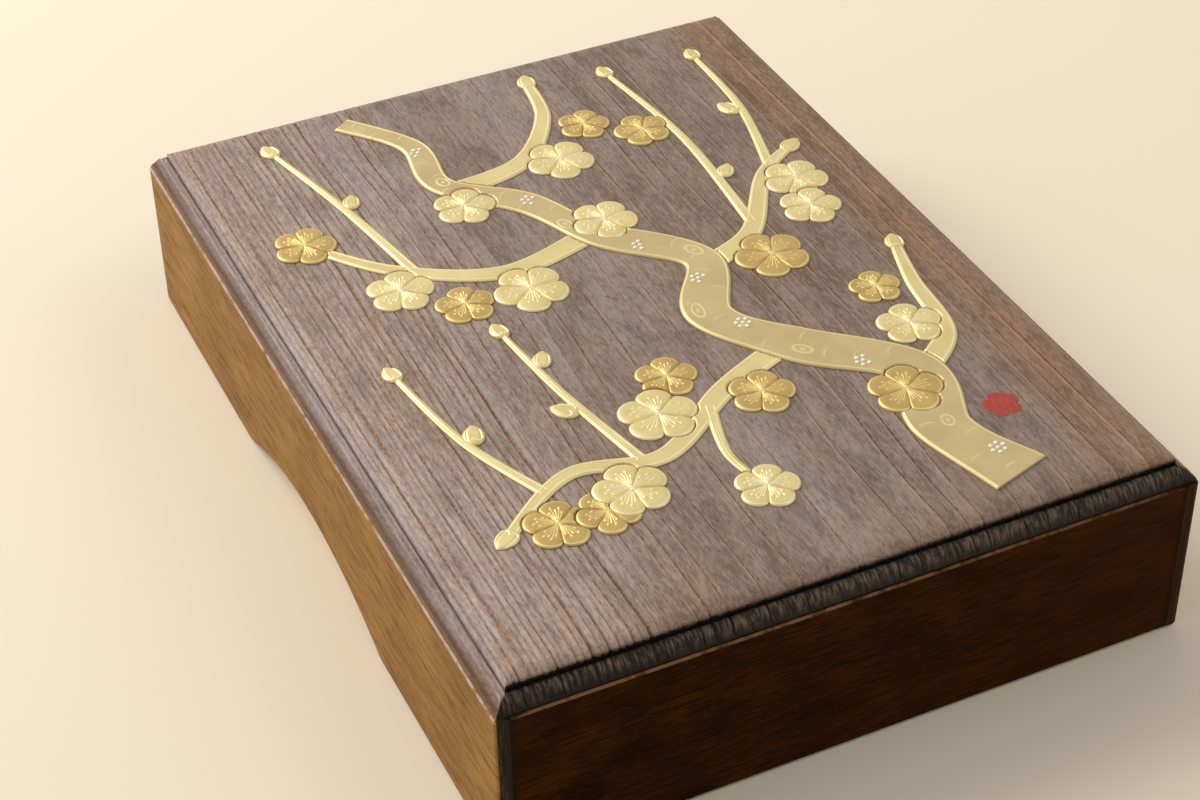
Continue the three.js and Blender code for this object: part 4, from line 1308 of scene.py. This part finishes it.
def bud_height(radius):
    """The height over one bud: a low dome, two grooves that part the front petal from its
    neighbours and meet at the tip, and a raised calyx with three scallops at the foot."""
    def shape(share, angle, reach):
        forward, side = reach * np.cos(angle) / radius, np.abs(reach * np.sin(angle)) / radius
        beside_petal = (side - PARTING * np.sqrt(np.clip(1 - forward**2, 0, 1))) * radius
        scallop = CALYX_SCALLOP * np.abs(np.sin(CALYX_SCALLOPS / 2 * np.pi * side))
        beyond_calyx = (forward + CALYX_PLACE + scallop) * radius
        groove = bell(beside_petal, BUD_GROOVE_WIDTH) * (share < BUD_RIM)
        calyx = ramp(beyond_calyx, CALYX_EDGE, -CALYX_EDGE)
        beside_groove = bell(beside_petal - BUD_LINE_INSET, BUD_LINE_WIDTH)
        line = np.maximum(bell(beyond_calyx, CALYX_LINE_WIDTH), beside_groove * (1 - calyx))
        line = line * ramp(share, BUD_RIM, BUD_RIM - BUD_RIM_FADE)
        height = BUD_RELIEF * np.sqrt(np.clip(1 - share**BUD_POWER, 0, 1))
        height = height - BUD_GROOVE_DEPTH * groove * (1 - calyx) + BUD_LINE_RELIEF * line
        return np.where(share < BUD_RIM, height + CALYX_RELIEF * calyx, height), line
    return shape


print("a bud rises", BUD_RELIEF / MM, "mm")

# %% Surfaces joined in one piece
# how far up the flank the foot's painted shade reaches
FOOT_SHADE_HEIGHT = 0.35 * MM


def join(surfaces):
    """Several grids as one list of points and faces. Each grid is (points, line mask, whether
    its columns close on themselves), and is closed and turned outwards by itself."""
    points, faces, line, first = [], [], [], 0
    for grid, mask, closed in surfaces:
        rows, columns = grid.shape[:2]
        flat, shell = grid.reshape(-1, 3), shell_faces(rows, columns, closed)
        if signed_volume(flat, shell) < 0:
            shell = [face[:, ::-1] for face in shell]
        points.append(flat)
        faces += [face + first for face in shell]
        line.append(mask.ravel())
        first += rows * columns
    return np.concatenate(points), faces, np.concatenate(line)


def gold_piece(name, node, slot, surfaces):
    """A piece of the picture in one of the golds. Its foot mask, for a line of painted shade, is 1
    at the board and fades a little way up its flank."""
    points, faces, line = join(surfaces)
    foot = ramp(points[:, 2] - field_height, FOOT_SHADE_HEIGHT, 0)
    return make_piece(name, points, faces, "lid", [golds[slot]], [node],
                      {"line": line, "foot": foot}, fold=GOLD_FOLD)


print("a foot's dark line reaches up", FOOT_SHADE_HEIGHT / MM, "mm")

# %% Trunk and boughs
BUD_DIAMETER, BUD_LENGTH_SHARE, BUD_OVERLAP = 10 * MM, 1.25, 0.45
BUD_LEAN = 0.55
BUD_GRID, TRUNK_GRID, BRANCH_GRID = (28, 80), (880, 93), (320, 37)
# branch, share along it, side, share of a full bud
BUDS = [
    ("frontShootInner", 0.4, 1, 1), ("frontShootInner", 0.7, -1, 0.9), ("frontShootInner", 1, 0, 0.9),
    ("frontShootOuter", 0.5, -1, 1), ("frontShootOuter", 1, 0, 0.9), ("frontBough", 1, 0, 1),
    ("rightShootInner", 0.3, -1, 0.9), ("rightShootInner", 1, 0, 0.9), ("rightShootOuter", 0.5, 1, 1),
    ("rightShootOuter", 1, 0, 0.9), ("rightBough", 1, 0, 1), ("leftShoot", 0.5, -1, 0.9),
    ("leftShoot", 1, 0, 0.95), ("backBough", 1, 0, 1), ("edgeBough", 1, 0, 0.95),
]


def bud_surface(name, along, side, size):
    """A bud at a tip, or beside a branch, grown into it and leaning away."""
    place, left, width = on_branch(name, along)
    radius = size * BUD_DIAMETER / 2
    middle = place[0] + left[0] * side * (width[0] / 2 + (1 - BUD_OVERLAP) * radius)
    turn = heading(left) + side * BUD_LEAN
    points, height, line = disc_surface(middle, radius, turn, *BUD_GRID, bud_outline,
                                        bud_height(radius), BUD_LENGTH_SHARE)
    hidden = np.maximum(under_blossoms(points, blossoms), under_trunk(points))
    return settle(points, height, hidden), line, True


for node in sorted({row[0] for row in BRANCHES.values()}):
    if node == "relief_trunk":
        surfaces, slot = [branch_surface("trunk", TRUNK_RELIEF, *TRUNK_GRID)], "olive_gold"
    else:
        surfaces = [branch_surface(name, BOUGH_RELIEF, *BRANCH_GRID)
                    for name, row in BRANCHES.items() if row[0] == node]
        surfaces += [bud_surface(*row) for row in BUDS if BRANCHES[row[0]][0] == node]
        slot = "pale_gold"
    gold_piece(node.replace("relief_", "gold_"), node, slot, surfaces)

# %% Blossoms
BLOSSOM_GRID = (44, 200)
slot_of = {row["node"]: row["material_slot"] for row in frame["record"]["subparts"]}

for number, (middle, radius, turn) in enumerate(blossoms, 1):
    points, height, line = disc_surface(middle, radius, turn, *BLOSSOM_GRID, petal_outline,
                                        blossom_height(radius))
    hidden = under_blossoms(points, blossoms[:number - 1])
    node = f"relief_blossom_{number}"
    gold_piece(f"gold_blossom_{number}", node, slot_of[node],
               [(settle(points, height, hidden), line * (1 - hidden), True)])

# %% [markdown]
# ## Small touches
# Clusters of white lacquer dots sit on the trunk like moss, and one small flat blossom in
# vermilion stands near the corner. The dots are half-round beads, all in one mesh.

# %% Moss dots and the vermilion crest
DOT_RADIUS, DOT_PITCH, DOT_HEIGHT, DOT_GRID = 0.8 * MM, 2.5 * MM, 0.5 * MM, (7, 14)
CREST_DIAMETER, CREST_RELIEF, CREST_GRID = 14 * MM, 0.15 * MM, (20, 150)
DOT_POWER, CREST_POWER = 2, 20
CREST_PLACE = (0.33, -0.34)
# share along the trunk, share across it from the middle, turn in radians, how many dots
DOT_CLUSTERS = [(0.045, -0.22, 0.3, 7), (0.245, 0.2, 1.1, 6), (0.36, -0.2, 0.7, 7), (0.46, 0.2, 0.2, 6),
                (0.56, 0.12, 1.4, 5), (0.7, -0.1, 0.5, 6), (0.88, 0.05, 0.9, 5)]
HONEYCOMB = np.array([(0, 0), (1, 0), (0.5, 0.87), (-0.5, 0.87), (-1, 0), (-0.5, -0.87), (0.5, -0.87)])


def moss_dots():
    """All clusters on the trunk, each a patch of a honeycomb of half-round beads."""
    beads = []
    for along, across, turn, count in DOT_CLUSTERS:
        place, left, width = on_branch("trunk", along)
        middle = place[0] + left[0] * across * width[0]
        spin = np.array([[np.cos(turn), -np.sin(turn)], [np.sin(turn), np.cos(turn)]])
        for spot in HONEYCOMB[:count] @ spin.T * DOT_PITCH:
            points, height, line = disc_surface(middle + spot, DOT_RADIUS, 0, *DOT_GRID,
                                                np.ones_like, dome(DOT_HEIGHT, DOT_POWER))
            beads.append((settle(points, height + TRUNK_RELIEF, 0), line, True))
    points, faces, _ = join(beads)
    return make_piece("moss_dots", points, faces, "lid", [white_lacquer])


def crest():
    """A small flat blossom, printed rather than built up."""
    middle = np.array(CREST_PLACE) * (box_width, box_length)
    points, height, line = disc_surface(middle, CREST_DIAMETER / 2, QUARTER_TURN, *CREST_GRID,
                                        petal_outline, dome(CREST_RELIEF, CREST_POWER))
    points, faces, _ = join([(settle(points, height, 0), line, True)])
    return make_piece("vermilion_crest", points, faces, "lid", [vermilion], ["relief_crest"])


moss_dots()
crest()

# %% [markdown]
# ## The stage, the light and the camera
# The floor is plain and pale. One large lamp behind and to the left rakes over the lid, as a
# window would, and leaves the front board in shadow; a weaker one fills in from the right.
# The camera stands where the photograph's did, worked out from the box's own corners.

# %% Floor
FLOOR_REACH, FLOOR_CLOUDS = 6.0, (1.5, 2.0, 0.5)


def floor():
    """A wide pale sheet under the box, whose tone drifts very slightly."""
    material, place = open_material("pale floor")
    colour = blend(noise(place, *FLOOR_CLOUDS), (236, 222, 196), (242, 230, 208))
    close_material(material, {"Base Color": colour, "Roughness": 0.9, "Specular IOR Level": 0.2})
    mesh = bpy.data.meshes.new("floor")
    corners = [(x * FLOOR_REACH, y * FLOOR_REACH, 0) for x, y in ((-1, -1), (1, -1), (1, 1), (-1, 1))]
    mesh.from_pydata(corners, [], [(0, 1, 2, 3)])
    mesh.materials.append(material)
    put_in_scene("floor", mesh)


floor()

# %% Lamps and world
LAMP_TARGET = (0, 0, 0.04)
# lamp: place and size in metres, power in watts, and colour
LAMPS = {"window": ((-1.2, 1.75, 1.6), 1.7, 66, (1.0, 0.98, 0.95)),
         "fill": ((1.5, -0.9, 1.7), 1.6, 10, (0.97, 0.98, 1.0))}
WORLD_COLOUR, WORLD_STRENGTH = (1.0, 0.98, 0.96, 1.0), 0.45


def lamp(name, place, size, power, colour):
    """A square area lamp at a place, turned to face the box."""
    light = bpy.data.lights.new(name, "AREA")
    light.shape = "SQUARE"
    light.size = size
    light.energy = power
    light.color = colour
    holder = put_in_scene(name, light)
    x, y, z = np.array(place, float) - LAMP_TARGET
    holder.location = place
    holder.rotation_euler = (np.arctan2(np.hypot(x, y), z), 0, np.arctan2(x, -y))


for name, row in LAMPS.items():
    lamp(name, *row)
world = bpy.data.worlds.new("studio")
bpy.context.scene.world = world
world.use_nodes = True
backdrop = world.node_tree.nodes["Background"]
backdrop.inputs["Color"].default_value = WORLD_COLOUR
backdrop.inputs["Strength"].default_value = WORLD_STRENGTH

# %% Camera
CAMERA_PLACE = (-329.8 * MM, -690.8 * MM, 620.4 * MM)
# degrees about each axis; lens and sensor in millimetres; the nearest that is drawn, in metres
CAMERA_TURN = (52.05, 0.818, -25.32)
CAMERA_LENS, CAMERA_SENSOR, CAMERA_NEAR = 76.57, 36, 0.01
camera = bpy.data.cameras.new("camera")
camera.lens = CAMERA_LENS
camera.sensor_width = CAMERA_SENSOR
camera.clip_start = CAMERA_NEAR
holder = put_in_scene("camera", camera)
holder.location = CAMERA_PLACE
holder.rotation_euler = np.radians(CAMERA_TURN)
bpy.context.scene.camera = holder
bpy.context.scene.view_settings.view_transform = "Standard"
print("lens, in mm:", camera.lens)
